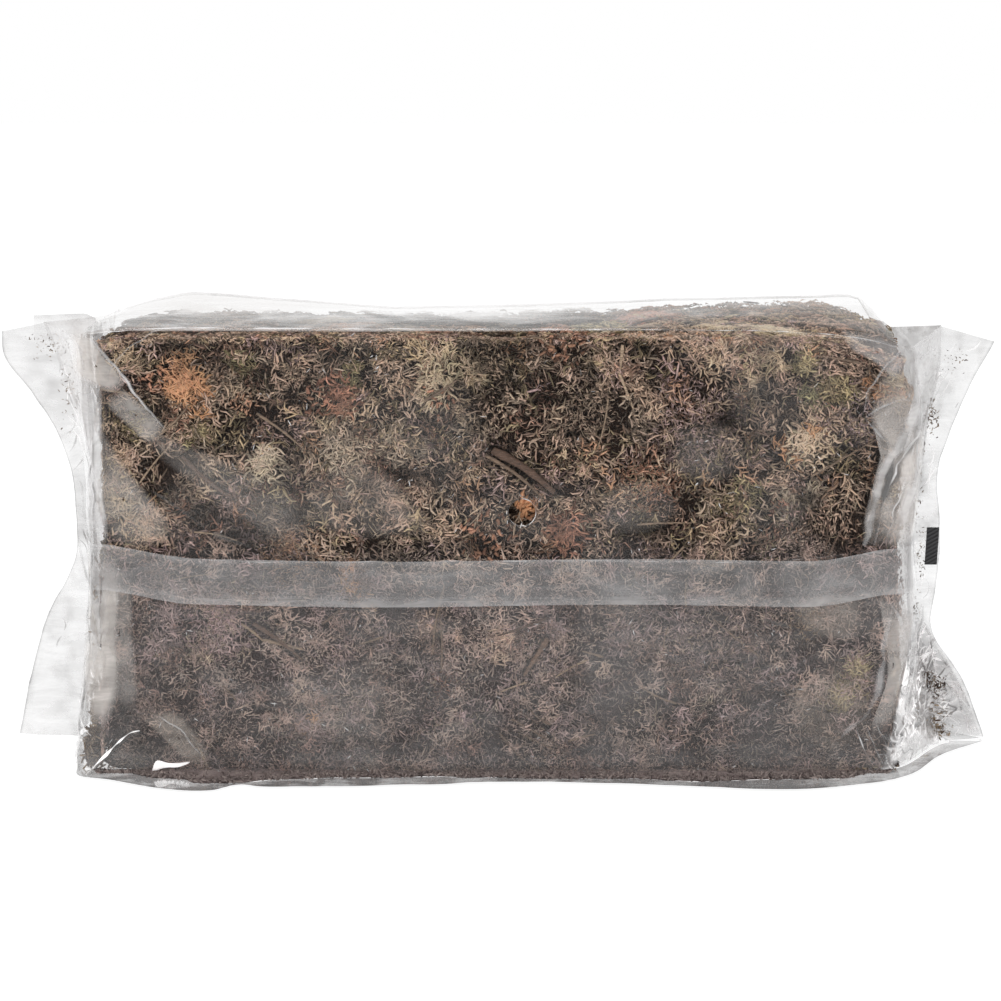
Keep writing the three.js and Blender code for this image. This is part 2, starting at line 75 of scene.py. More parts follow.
def cloud(points, size, seed=0):
    """A smooth random field from 0 to 1, with lumps of about that size."""
    place = np.asarray(points, float) / size + 31.7 * seed
    cell = np.floor(place).astype(np.int64)
    part = place - cell
    part = part * part * (3 - 2 * part)
    total = np.zeros(place.shape[:-1])
    for corner in range(8):
        step = np.array([corner & 1, corner >> 1 & 1, corner >> 2 & 1])
        key = cell + step
        mixed = key[..., 0] * 73856093 ^ key[..., 1] * 19349663 ^ key[..., 2] * 83492791
        mixed = (mixed & 0xFFFFFFFF) * 1274126177 & 0xFFFFFFFF
        mixed = (mixed ^ mixed >> 15) * 668265263 & 0xFFFFFFFF
        level = (mixed >> 8 & 0xFFFF) / 65535.0
        weight = np.prod(np.where(step == 1, part, 1 - part), axis=-1)
        total += level * weight
    return total


def unit(vectors):
    return vectors / np.maximum(np.linalg.norm(vectors, axis=-1, keepdims=True), 1e-9)


def blend(a, b, share):
    return a + (b - a) * share


def spots(x, y, z):
    """Points from their coordinates, each of them numbers in a grid or one number for all."""
    return np.stack(np.broadcast_arrays(x, y, z), -1)


def run_along(line):
    """How far along a line each of its points is."""
    return np.concatenate([[0], np.cumsum(np.linalg.norm(np.diff(line, axis=0), axis=1))])


def step_up(value, low, high):
    """0 below low, 1 above high, and a soft rise between them."""
    part = np.clip((np.asarray(value, float) - low) / (high - low), 0, 1)
    return part * part * (3 - 2 * part)


def linear(red, green, blue):
    """A colour as it looks on a screen, 0 to 255, as the light that it reflects."""
    level = np.array([red, green, blue], float) / 255
    return np.where(level <= 0.04045, level / 12.92, ((level + 0.055) / 1.055) ** 2.4)


def vertices_of(mesh):
    points = np.zeros(len(mesh.vertices) * 3)
    mesh.vertices.foreach_get("co", points)
    return points.reshape(-1, 3)


def move_vertices(mesh, points):
    """Puts a mesh's vertices at points in millimetres."""
    mesh.vertices.foreach_set("co", (points * MM).ravel())


def mesh_piece(name, points, faces, slot, finish):
    """A piece from points in millimetres and lists of corner numbers."""
    points = np.asarray(points, float).reshape(-1, 3)
    mesh = bpy.data.meshes.new(name)
    mesh.vertices.add(len(points))
    move_vertices(mesh, points)
    groups = [np.asarray(group, np.int64) for group in faces if len(group)]
    corners = np.concatenate([group.ravel() for group in groups])
    totals = np.concatenate([np.full(len(group), group.shape[1]) for group in groups])
    mesh.loops.add(len(corners))
    mesh.loops.foreach_set("vertex_index", corners)
    mesh.polygons.add(len(totals))
    mesh.polygons.foreach_set("loop_start", np.concatenate([[0], np.cumsum(totals)[:-1]]))
    mesh.polygons.foreach_set("loop_total", totals)
    mesh.polygons.foreach_set("use_smooth", np.ones(len(totals), bool))
    mesh.update(calc_edges=True)
    mesh.validate()
    piece = bpy.data.objects.new(name, mesh)
    bpy.context.scene.collection.objects.link(piece)
    return dressed(piece, slot, finish)


def dressed(piece, slot, finish):
    piece.data.materials.clear()
    piece.data.materials.append(finish)
    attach(piece, "root")
    return piece


def tint_points(piece, colours):
    """The tint of every point of a piece, which its finish reads."""
    layer = piece.data.color_attributes.new(name="tint", type="FLOAT_COLOR", domain="POINT")
    full = np.ones((len(piece.data.vertices), 4), np.float32)
    full[:, :3] = colours
    layer.data.foreach_set("color", full.ravel())


def point_values(piece, name, values):
    """One number for every point of a piece, kept under the name that its finish reads."""
    layer = piece.data.attributes.new(name=name, type="FLOAT", domain="POINT")
    layer.data.foreach_set("value", np.asarray(values, np.float32).ravel())


def grid_faces(rows, columns, turned=False):
    """The four-sided faces of a grid of points."""
    i, j = np.meshgrid(np.arange(rows - 1), np.arange(columns - 1), indexing="ij")
    a = i * columns + j
    quads = np.stack([a, a + columns, a + columns + 1, a + 1], -1).reshape(-1, 4)
    return quads[:, ::-1] if turned else quads


def film_piece(name, grid, finish, haze, tone, turned=False):
    """A film from a grid of points: how thick its haze is at each of them, and how pale."""
    piece = mesh_piece(name, grid, [grid_faces(*grid.shape[:2], turned)], "film", finish)
    point_values(piece, "haze", np.broadcast_to(haze, grid.shape[:2]))
    point_values(piece, "tone", np.broadcast_to(tone, grid.shape[:2]))


def made_by_hand(name):
    """The active object after operators, renamed, with its place in its mesh."""
    piece = bpy.context.object
    piece.name = name
    piece.data.name = name
    bpy.ops.object.transform_apply(location=True, rotation=True, scale=True)
    piece.select_set(False)
    return piece


def choose_vertices(piece, wanted):
    """In edit mode, select the vertices whose place passes a test."""
    bpy.ops.mesh.select_all(action="DESELECT")
    bpy.ops.object.mode_set(mode="OBJECT")
    for vertex in piece.data.vertices:
        vertex.select = bool(wanted(vertex.co))
    bpy.ops.object.mode_set(mode="EDIT")


def cut_across(heights):
    """In edit mode, cut the whole form across at each height."""
    for height in heights:
        bpy.ops.mesh.select_all(action="SELECT")
        bpy.ops.mesh.bisect(plane_co=(0, 0, height), plane_no=(0, 0, 1))


# --- finishes ---


class Flow:
    """A shader socket that takes part in sums."""

    def __init__(self, finish, socket):
        self.finish = finish
        self.socket = socket

    def joined(self, operation, *others):
        return self.finish.node(
            "ShaderNodeMath", {"operation": operation}, {i: v for i, v in enumerate(others)}
        ).out()

    def __add__(self, other):
        return self.joined("ADD", self, other)

    def __radd__(self, other):
        return self.joined("ADD", other, self)

    def __sub__(self, other):
        return self.joined("SUBTRACT", self, other)

    def __rsub__(self, other):
        return self.joined("SUBTRACT", other, self)

    def __mul__(self, other):
        return self.joined("MULTIPLY", self, other)

    def __rmul__(self, other):
        return self.joined("MULTIPLY", other, self)

    def __truediv__(self, other):
        return self.joined("DIVIDE", self, other)

    def __rtruediv__(self, other):
        return self.joined("DIVIDE", other, self)

    def __pow__(self, other):
        return self.joined("POWER", self, other)

    def least(self, other):
        return self.joined("MINIMUM", self, other)

    def most(self, other):
        return self.joined("MAXIMUM", self, other)


class Made:
    """A node that was just added, with its outputs at hand."""

    def __init__(self, finish, node):
        self.finish = finish
        self.node = node

    def out(self, name=0):
        return Flow(self.finish, self.node.outputs[name])


class Finish:
    """A material built on one Principled shader."""

    def __init__(self, name, **base):
        self.material = bpy.data.materials.new(name)
        self.material.use_nodes = True
        self.tree = self.material.node_tree
        self.shader = self.tree.nodes["Principled BSDF"]
        for key, value in base.items():
            self.shader.inputs[key.replace("_", " ")].default_value = value

    def node(self, kind, settings=None, inputs=None):
        made = self.tree.nodes.new(kind)
        for key, value in (settings or {}).items():
            if key == "stops":
                ramp = made.color_ramp.elements
                while len(ramp) < len(value):
                    ramp.new(0.5)
                for stop, (at, colour) in zip(ramp, value):
                    stop.position = at
                    stop.color = (*colour, 1.0)
            else:
                setattr(made, key, value)
        for key, value in (inputs or {}).items():
            self.feed(made.inputs[key], value)
        return Made(self, made)

    def feed(self, socket, value):
        if isinstance(value, Flow):
            self.tree.links.new(value.socket, socket)
        else:
            socket.default_value = value

    def set(self, name, value):
        self.feed(self.shader.inputs[name], value)

    def place(self):
        return self.node("ShaderNodeTexCoord").out("Object")

    def attribute(self, name, output="Fac"):
        return self.node("ShaderNodeAttribute", {"attribute_name": name}).out(output)

    def noise(self, scale, detail=3.0, rough=0.55, vector=None, warp=0.0):
        inputs = {"Scale": scale, "Detail": detail, "Roughness": rough, "Distortion": warp}
        return self.node("ShaderNodeTexNoise", {}, {"Vector": vector or self.place(), **inputs}).out("Fac")

    def stretched(self, scale, turn=(0, 0, 0)):
        inputs = {"Vector": self.place(), "Scale": scale, "Rotation": turn}
        return self.node("ShaderNodeMapping", {}, inputs).out()

    def spread(self, value, low, high, to_low=0.0, to_high=1.0):
        inputs = {0: value, 1: low, 2: high, 3: to_low, 4: to_high}
        return self.node("ShaderNodeMapRange", {}, inputs).out()

    def streaks(self, scale, turn, detail=4.0, rough=0.55, warp=0.0):
        """Noise that is drawn out along a direction."""
        return self.noise(1.0, detail, rough, self.stretched(scale, turn), warp)

    def ramp(self, value, *colours):
        """Colours at even steps of a value from 0 to 1."""
        stops = [(i / (len(colours) - 1), colour) for i, colour in enumerate(colours)]
        return self.node("ShaderNodeValToRGB", {"stops": stops}, {"Fac": value}).out("Color")

    def colour(self, red, green, blue):
        return self.node("ShaderNodeCombineColor", {}, {0: red, 1: green, 2: blue}).out()

    def mix(self, share, a, b, way="MIX"):
        settings = {"data_type": "RGBA", "blend_type": way}
        return self.node("ShaderNodeMix", settings, {0: share, 6: a, 7: b}).out(2)

    def relief(self, height, strength, distance):
        inputs = {"Height": height, "Strength": strength, "Distance": distance}
        return self.node("ShaderNodeBump", {}, inputs).out()

    def tinted(self, level):
        """Colours the piece by its own tint, lighter or darker by a level."""
        tint = self.attribute("tint", "Color")
        self.set("Base Color", self.mix(1.0, tint, self.colour(level, level, level), "MULTIPLY"))


def moss_finish(name):
    """Dry leafy strands: each its own tint, mottled, with the scaly relief of tiny leaves."""
    finish = Finish(name, Roughness=0.85, Specular_IOR_Level=0.25)
    finish.tinted(finish.spread(finish.noise(900, 2.0), 0.3, 0.7, 0.74, 1.2))
    finish.set("Normal", finish.relief(finish.noise(1800, 2.0), 0.6, 0.0004))
    return finish.material


def core_finish():
    """The matted inside of the bale, seen in the gaps between strands: greyer low down, paler off the front."""
    finish = Finish("matted_moss", Roughness=0.95, Specular_IOR_Level=0.1)
    long_way = finish.streaks((200, 500, 900), (0.3, 0.7, 0.4), warp=3.0)
    cross_way = finish.streaks((900, 500, 200), (0.9, 0.2, 1.3), warp=3.0)
    both = finish.spread(long_way.most(cross_way), 0.46, 0.70)
    upper = finish.ramp(both, linear(24, 15, 11), linear(58, 42, 34), linear(122, 100, 86))
    lower = finish.ramp(both, linear(50, 36, 33), linear(84, 66, 63), linear(134, 110, 106))
    off_front = finish.ramp(both, linear(74, 58, 49), linear(116, 95, 80), linear(172, 149, 128))
    place = finish.node("ShaderNodeSeparateXYZ", {}, {0: finish.place()})
    height = finish.spread(place.out("Z"), 0.072, 0.098)
    depth = finish.spread(place.out("Y"), -0.054, -0.046)
    finish.set("Base Color", finish.mix(depth, finish.mix(height, lower, upper), off_front))
    finish.set("Normal", finish.relief(both, 0.9, 0.0012))
    return finish.material


def twig_finish():
    """Dry bark, streaked along the twig."""
    finish = Finish("twig_bark", Roughness=0.7)
    streak = finish.streaks((260, 700, 1500), (0, 0.72, 0), rough=0.6, warp=0.8)
    finish.tinted(finish.spread(streak, 0.3, 0.7, 0.35, 1.5))
    finish.set("Normal", finish.relief(streak, 0.7, 0.0008))
    return finish.material


def film_finish(name, low, high):
    """Clear film: glossy, with a haze as thick, as pale and as warm as its haze, tone and warm attributes
    say. Its alpha stays between low and high."""
    finish = Finish(name, Roughness=0.16, IOR=1.5, Specular_IOR_Level=1.0, Coat_Weight=1.0, Coat_Roughness=0.04)
    tone = finish.attribute("tone")
    warm = finish.attribute("warm") * 0.16
    finish.set("Base Color", finish.colour(tone * (warm + 1.02), tone, tone * (1.0 - warm)))
    smear = finish.streaks((34, 30, 60), (0, 0.5, 0), rough=0.6, warp=1.2)
    streak = finish.streaks((30, 90, 160), (0, -0.35, 0), 5.0, 0.65, 2.0)
    cloudy = finish.spread(smear, 0.38, 0.68, 0.75, 1.25) * finish.spread(streak, 0.35, 0.7, 0.85, 1.2)
    finish.set("Alpha", (finish.attribute("haze") * cloudy).most(low).least(high))
    crinkle = finish.streaks((70, 60, 110), (0.2, 0.4, 0), 3.0, 0.5, 1.0)
    finish.set("Normal", finish.relief(crinkle, 0.35, 0.0012))
    return finish.material


# --- the pressed surface of the moss ---


def upper_share(z):
    """0 in the lower half of the bale, and from there 1 at its top."""
    return np.clip((z - FACE_MIDDLE) / (FACE_MIDDLE - BALE_LOW), 0, 1)


def swell_at(x, z):
    """How far the big faces stand out of their plane."""
    return SWELL * (1 - upper_share(z) ** 2) * np.clip(1 - (x / BALE_HALF) ** 4, 0.3, 1)


# How high the back edge of the top stands up along x
LIFT = ([-172, -141, -120, -76, -48, -20, 22, 75, 157, 172], [0, 6.5, 5.5, 2, 0, 0.5, 1.5, 3.8, 5.5, 0])


def lift_at(x, y):
    """How far the top stands up along its back edge, and slumps at the front on the right."""
    slump = np.interp(x, [105, 152, 172], [0, 4.4, 7]) * (1 - step_up(y, -45, 10))
    return np.interp(x, *LIFT) * step_up(y, -40, 56) - slump


def pressed(points):
    """Each point's nearest place on the bale's pressed surface, and the way out of it there."""
    edge = np.where(points[..., 2] < 40, FOOT_EDGE, EDGE)
    rounding = np.stack([np.full_like(edge, 5.0), edge, edge], -1)
    low = np.array([-BALE_HALF - 3.5, -SIDE_HALF, BALE_LOW - 0.7]) + rounding
    high = np.array([BALE_HALF + 2.0, SIDE_HALF, BALE_TOP]) - rounding
    inside = np.clip(points, low, high)
    round_way = unit((points - inside) / rounding)
    surface = inside + round_way * rounding
    outward = unit(round_way / rounding)
    x, y, z = surface[..., 0], surface[..., 1], surface[..., 2]
    up = upper_share(z)
    fall = np.where(y > 0, SHOULDER * y / SIDE_HALF * up, 0)
    near_end = np.clip((np.abs(x) - CORNER_FROM) / CORNER_RUN, 0, 1) ** 2
    corner = near_end * np.where(x < 0, 2.5, blend(1.0, 9.0, step_up(y, -20, 50)))
    moved = surface.copy()
    moved[..., 0] = x + 3.0 * step_up(x, 130, 166) * np.exp(-(((z - 157) / 20) ** 2))
    moved[..., 1] = y + np.sign(y) * swell_at(x, z) * np.where(z < 8, 1, np.abs(outward[..., 1]))
    lift = lift_at(x, y)
    follow = np.where(lift > 0, blend(0.3, 0.95, step_up(x, 10, 80)), 1.0)
    moved[..., 2] = z - fall + (follow * lift - corner) * up**4
    return moved, outward


def slack_at(points):
    """How freely the moss may fall back from the film: not at all along the floor."""
    return step_up(points[..., 2], 1.5, 11)


# Each side of the bale: its middle, its two ways along, its way out, and half its size
SIDES = {
    "front": ((0, -60, 95), (1, 0, 0), (0, 0, 1), (0, -1, 0), (166, 94)),
    "back": ((0, 60, 95), (1, 0, 0), (0, 0, 1), (0, 1, 0), (164, 92)),
    "top": ((0, 0, 189), (1, 0, 0), (0, 1, 0), (0, 0, 1), (164, 56)),
    "floor": ((0, 0, 1), (1, 0, 0), (0, 1, 0), (0, 0, -1), (160, 52)),
    "left": ((-166, 0, 95), (0, 1, 0), (0, 0, 1), (-1, 0, 0), (56, 90)),
    "right": ((166, 0, 95), (0, 1, 0), (0, 0, 1), (1, 0, 0), (56, 90)),
}

# Dark gaps that stand out on the front: x, z and half their width and height
GAPS = [
    (30, 146, 4.0, 1.8), (-141, 121, 9, 5), (-127, 112, 9, 5), (-113, 102, 8, 4), (158, 130, 1.6, 9),
    (155.5, 114, 1.6, 9), (-136, 183, 5, 3), (-70, 178, 5, 3), (58, 182, 6, 3), (92, 150, 6, 3),
    (-40, 128, 7, 3), (60, 105, 9, 3), (-12, 99, 8, 3), (-88, 112, 6, 3), (-160, 30, 4, 9),
    (20, 160, 6, 2.5), (128, 118, 6, 4),
]

# Twigs: name, side, both ends from the middle of the side, and width
TWIGS = [
    ("twig_1", "front", (-4, 44), (22, 26), 3.4),
    ("twig_2", "front", (-134, 41), (-113, 23), 1.8),
    ("twig_3", "front", (-105, -30), (-84, -46), 1.8),
    ("twig_4", "front", (19, -36), (9, -52), 2.2),
    ("twig_5", "back", (-20, 20), (18, 42), 4.0),
    ("twig_6", "top", (-20, -25), (18, -8), 3.2),
]

# Thin stems that stand out: side, ends, width, and how pale
PLACED_STEMS = [
    ("front", (-7, 42), (17, 24), 1.5, 0.35),
    ("front", (50, 88), (48.5, 75), 1.4, 1.2),
    ("front", (48.5, 76), (54.5, 61), 1.2, 1.2),
    ("front", (-101, -37), (-84, -41), 1.5, 0.7),
    ("front", (-110, -30), (-100, -38), 1.2, 0.8),
    ("front", (-143, 50), (-131, 62), 0.9, 0.6),
    ("front", (62, 94), (74, 92), 1.0, 1.0),
    ("front", (-128, 44), (-110, 25), 0.8, 0.9),
    ("front", (-152, 30), (-140, 45), 0.8, 0.8),
]
STEMS = {"front": 46, "back": 34, "top": 26, "left": 10, "right": 10, "floor": 6}  # the others on each side


def twig_room(points):
    """How far the strands are pushed in beside the twigs on the two big faces."""
    x, b = points[..., 0], points[..., 2] - FACE_MIDDLE
    room = np.zeros(x.shape)
    for _, side, start, end, width in TWIGS:
        if side == "top":
            continue
        run = np.subtract(end, start).astype(float)
        share = np.clip(((x - start[0]) * run[0] + (b - start[1]) * run[1]) / run.dot(run), 0, 1)
        away = np.hypot(x - start[0] - share * run[0], b - start[1] - share * run[1])
        facing = points[..., 1] * (1 if side == "back" else -1) > 50
        room = room + np.where(facing, (width + 0.4) * np.exp(-((away / (width * 0.7)) ** 2)), 0)
    return room


def hollow_at(points):
    """How far the moss falls away from the film, in millimetres: soft hollows between the clumps."""
    near = np.clip(cloud(points, 15, 71) * 2.6 - 1.5, 0, 1)
    deep = near * 3.2 * (0.3 + 0.7 * step_up(points[..., 2], 70, 110)) + twig_room(points)
    x, y, z = points[..., 0], points[..., 1], points[..., 2]
    for at_x, at_z, wide, tall in GAPS:
        spot = np.exp(-(((x - at_x) / wide) ** 2) - ((z - at_z) / tall) ** 2)
        deep = deep + np.where(y < -50, 4.5 * spot, 0)
    return deep


def on_side(side, a, b):
    """Points on a side, a and b millimetres from its middle, pushed out a little so that they press on."""
    middle, along, across, out, _ = (np.array(v, float) for v in SIDES[side])
    a, b = np.asarray(a, float)[..., None], np.asarray(b, float)[..., None]
    return middle + along * a + across * b + out * PRESS


# --- strands ---


def measured(piece):
    """What the copies of a strand need: its rings' places along it, its outline and its faces."""
    bpy.ops.mesh.select_all(action="SELECT")
    bpy.ops.mesh.quads_convert_to_tris()
    bpy.ops.mesh.normals_make_consistent(inside=False)
    bpy.ops.object.mode_set(mode="OBJECT")
    mesh = piece.data
    points = vertices_of(mesh)
    faces = np.array([list(p.vertices) for p in mesh.polygons])
    bpy.data.objects.remove(piece)
    heights = np.unique(np.round(points[:, 2], 3))
    rings = np.searchsorted(heights, np.round(points[:, 2], 3))
    return {"at": heights + 0.5, "rings": rings, "offsets": points[:, :2], "faces": faces}


def leaf_form():
    """The smallest leaf, one unit long: a rod whose two ends are closed up to one girdle round its middle."""
    bpy.ops.mesh.primitive_cylinder_add(vertices=3, radius=0.5, depth=1.0, end_fill_type="TRIFAN")
    piece = bpy.context.object
    bpy.ops.object.mode_set(mode="EDIT")
    choose_vertices(piece, lambda co: math.hypot(co.x, co.y) > 0.1)
    bpy.ops.transform.resize(value=(1, 1, 0))
    bpy.ops.mesh.select_all(action="SELECT")
    bpy.ops.mesh.remove_doubles(threshold=0.001)
    return measured(piece)


def branchlet_form():
    """A short leafy branchlet, one unit long: a coarse ball, slimmer towards its tip."""
    bpy.ops.mesh.primitive_uv_sphere_add(segments=3, ring_count=3, radius=0.5)
    piece = bpy.context.object
    bpy.ops.object.mode_set(mode="EDIT")
    choose_vertices(piece, lambda co: 0.1 < co.z < 0.4)
    bpy.ops.transform.resize(value=(0.75, 0.75, 1))
    return measured(piece)


def strand_form(cuts):
    """A leafy strand one unit long: a three-sided rod cut across, drawn in at both ends to points."""
    bpy.ops.mesh.primitive_cylinder_add(vertices=3, radius=0.5, depth=0.8, end_fill_type="TRIFAN")
    piece = bpy.context.object
    bpy.ops.object.mode_set(mode="EDIT")
    cut_across(cuts)
    for sign, slim in ((1, 0.5), (-1, 0.7)):
        choose_vertices(piece, lambda co: co.z * sign > 0.39 and math.hypot(co.x, co.y) > 0.1)
        bpy.ops.transform.resize(value=(slim, slim, 1))
        choose_vertices(piece, lambda co: co.z * sign > 0.39 and math.hypot(co.x, co.y) < 0.1)
        bpy.ops.transform.translate(value=(0, 0, 0.1 * sign))
    return measured(piece)


LEAF = leaf_form()
BRANCHLET = branchlet_form()
SHORT_STRAND = strand_form([0.0])
LONG_STRAND = strand_form([-0.2, 0.0, 0.2])


def lay_strands(form, plan):
    """Copies of a strand form, each bent along its own line on the moss. plan holds one value a strand: start
    (on a side), heading (a direction), length, width, curl, wave and its phase, deep (at its start and its
    end), arch, tint, and how much the tint fades along it."""
    share = form["at"][None, :]
    surface, outward = pressed(plan["start"])
    heading = unit(plan["heading"] - outward * np.sum(plan["heading"] * outward, axis=-1, keepdims=True))
    sideways = np.cross(outward, heading)
    turn = plan["curl"][:, None] * share + plan["wave"][:, None] * np.sin(share * 5 + plan["phase"][:, None])
    steps = np.diff(share, prepend=share[:, :1])
    u, v = (np.cumsum(bend(turn) * steps, axis=1) * plan["length"][:, None] for bend in (np.cos, np.sin))
    flat = surface[:, None] + outward[:, None]
    flat = flat + heading[:, None] * u[..., None] + sideways[:, None] * v[..., None]
    rest, out = pressed(flat)
    width = plan["width"][:, None]
    rise = blend(plan["deep"][:, :1], plan["deep"][:, 1:], share)
    rise = rise + plan["arch"][:, None] * np.sin(np.pi * share)
    hollow = hollow_at(rest) * slack_at(rest)
    rise = np.minimum(rise * blend(0.35, 1.0, slack_at(rest)), -0.2 - width * 0.3) - hollow
    centre = rest + out * rise[..., None]
    way = unit(np.gradient(centre, axis=1))
    side_way = unit(np.cross(out, way))
    up_way = np.cross(way, side_way)
    ring = form["rings"]
    beside = form["offsets"][None, :, 0] * width
    above = form["offsets"][None, :, 1] * width * 0.8
    points = centre[:, ring] + side_way[:, ring] * beside[..., None] + up_way[:, ring] * above[..., None]
    faces = form["faces"][None] + (np.arange(len(points)) * len(ring))[:, None, None]
    fade = 1 + plan["fade"][:, None] * (form["at"][ring][None] - 0.5)
    # painted shade: strands that lie deep in the hollows are darkened
    fade = fade * np.exp(-0.24 * hollow[:, ring])
    tint = plan["tint"][:, None] * fade[..., None]
    return points.reshape(-1, 3), faces.reshape(-1, 3), tint.reshape(-1, 3)


# Colours of dry moss, as they look under the film
TINTS = {
    "straw": linear(216, 198, 166),
    "beige": linear(194, 172, 150),
    "sage": linear(168, 156, 136),
    "olive": linear(148, 138, 104),
    "ochre": linear(202, 160, 122),
    "rust": linear(150, 114, 94),
    "umber": linear(132, 108, 90),
    "mauve": linear(154, 135, 131),
    "amber": linear(232, 174, 130),
}
TINT_NAMES = list(TINTS)
TINT_LIFT = np.array([1.12, 1.07, 1.10])  # lightens every strand and shifts its hue a little
BRIGHTEST = 0.74  # paler strands than this are held back
# The shares of the tints in the upper and the lower half; the last tint is for patches only
UPPER_MIX = np.array([0.12, 0.28, 0.17, 0.13, 0.04, 0.05, 0.12, 0.09, 0])
LOWER_MIX = np.array([0.06, 0.28, 0.10, 0.03, 0.01, 0.04, 0.18, 0.30, 0])

# Patches that stand out, by side: place, radius, tint, and the kind of growth
PATCHES = {
    "front": [
        (-133, 76, 10, "ochre", "head"), (-129, 66, 8, "ochre", "head"), (-126, 60, 6, "ochre", "head"),
        (-153, 56, 8, "olive", "head"), (-128, 49, 8, "olive", "head"), (-147, 72, 6, "rust", "lumps"),
        (-158, 84, 11, "straw", "head"), (-160, 40, 9, "beige", "head"), (-159, 20, 11, "straw", "head"),
        (-147, 8, 11, "beige", "head"), (-112, 80, 9, "olive", "head"), (-65, 74, 9, "olive", "head"),
        (-70, 57, 7, "straw", "head"), (-77, 65, 7, "rust", "lumps"), (-28, 84, 13, "straw", "head"),
        (-12, 76, 10, "straw", "head"), (-26, 65, 8, "rust", "lumps"), (24, 88, 12, "rust", "lumps"),
        (-5, 6, 13, "rust", "lumps"), (9, 18, 5, "amber", "plump"), (49, 78, 11, "beige", "head"),
        (84, 86, 12, "beige", "head"), (110, 80, 12, "straw", "head"), (126, 84, 10, "olive", "head"),
        (133, 68, 12, "olive", "head"), (126, 48, 11, "ochre", "head"), (148, 56, 12, "mauve", "needles"),
        (156, 72, 9, "ochre", "head"), (163, 80, 8, "straw", "head"), (-53, 46, 17, "sage", "head"),
        (-44, 22, 14, "beige", "head"), (-62, 30, 10, "sage", "head"), (32, 60, 14, "beige", "needles"),
        (80, 52, 22, "mauve", "needles"), (62, 30, 14, "rust", "needles"), (96, 22, 12, "olive", "head"),
        (121, 23, 14, "sage", "head"), (-88, -2, 16, "umber", "needles"), (-60, -15, 10, "ochre", "head"),
        (-2, -40, 13, "beige", "head"), (-28, -33, 9, "beige", "head"), (-24, -56, 9, "rust", "needles"),
        (-80, -71, 7, "ochre", "head"), (-120, -30, 18, "mauve", "needles"),
        (90, -40, 24, "mauve", "needles"), (146, -58, 14, "olive", "head"),
        (128, -30, 10, "umber", "needles"),
    ],
    "top": [
        (24, -44, 14, "rust", "lumps"), (-66, -30, 16, "ochre", "head"), (62, 0, 18, "rust", "head"),
        (104, -30, 18, "straw", "head"), (-75, -6, 16, "straw", "head"), (40, -30, 18, "olive", "head"),
    ],
    "back": [
        (70, 40, 14, "ochre", "head"), (-95, -20, 16, "olive", "head"), (10, -40, 16, "rust", "head"),
        (-40, 60, 14, "straw", "head"), (120, -50, 18, "mauve", "needles"),
    ],
    "left": [
        (0, 40, 14, "ochre", "head"),
    ],
    "right": [
        (10, 10, 14, "olive", "head"),
    ],
}

# Large areas of the front that are lighter or darker than the rest: x, z, half width and height, how much
SHADES = [
    (-150, 122, 26, 34, 0.34), (-120, 165, 40, 26, 0.22), (-30, 182, 15, 14, 0.50), (20, 150, 26, 13, -0.26),
    (84, 146, 26, 13, -0.22), (112, 184, 52, 12, 0.42), (150, 168, 26, 22, 0.48), (40, 178, 34, 12, 0.14),
    (-88, 112, 20, 9, -0.25), (-62, 132, 24, 16, 0.04), (120, 18, 60, 18, -0.16), (-110, 50, 56, 40, 0.20),
    (0, 58, 26, 14, 0.16), (100, 110, 40, 14, 0.12), (-160, 12, 15, 13, -0.85), (-168, 50, 8, 50, 0.30),
    (60, 30, 50, 30, -0.05), (-20, 112, 30, 12, -0.06),
]


def shade_at(side, places):
    """How much lighter or darker the moss is over large areas, as a factor."""
    level = 0.06 + 0.5 * (cloud(places, 36, 13) - 0.5) + 0.3 * (cloud(places, 17, 14) - 0.5)
    if side == "front":
        for x, z, wide, tall, gain in SHADES:
            spot = ((places[:, 0] - x) / wide) ** 2 + ((places[:, 2] - z) / tall) ** 2
            level = level + gain * np.exp(-spot)
    elif side == "top":
        level = level + 0.25 + 0.35 * step_up(places[:, 0], -10, 60)
    else:
        level = level + 0.22
    return np.exp(level)


def empty_plan():
    keys = "start heading length width curl wave phase deep arch tint fade kind form front"
    return {key: [] for key in keys.split()}


# The shortest and longest, thinnest and widest strand of the plain kinds
SIZES = {
    "lumps": (2.4, 4.6, 1.5, 2.6),
    "plump": (3.6, 6.5, 1.8, 3.0),
    "needles": (1.5, 5, 0.35, 0.75),
    "fibre": (2.5, 8, 0.3, 0.5),
}
# What each kind is made of: 0 the leaf, 1 the branchlet, 2 the short strand
FORM_OF = {"head": 2, "sprig": 1, "fluff": 0, "needles": 0, "lumps": 1, "loose": 1, "fibre": 1, "plump": 2}
LONG_FORM = 3


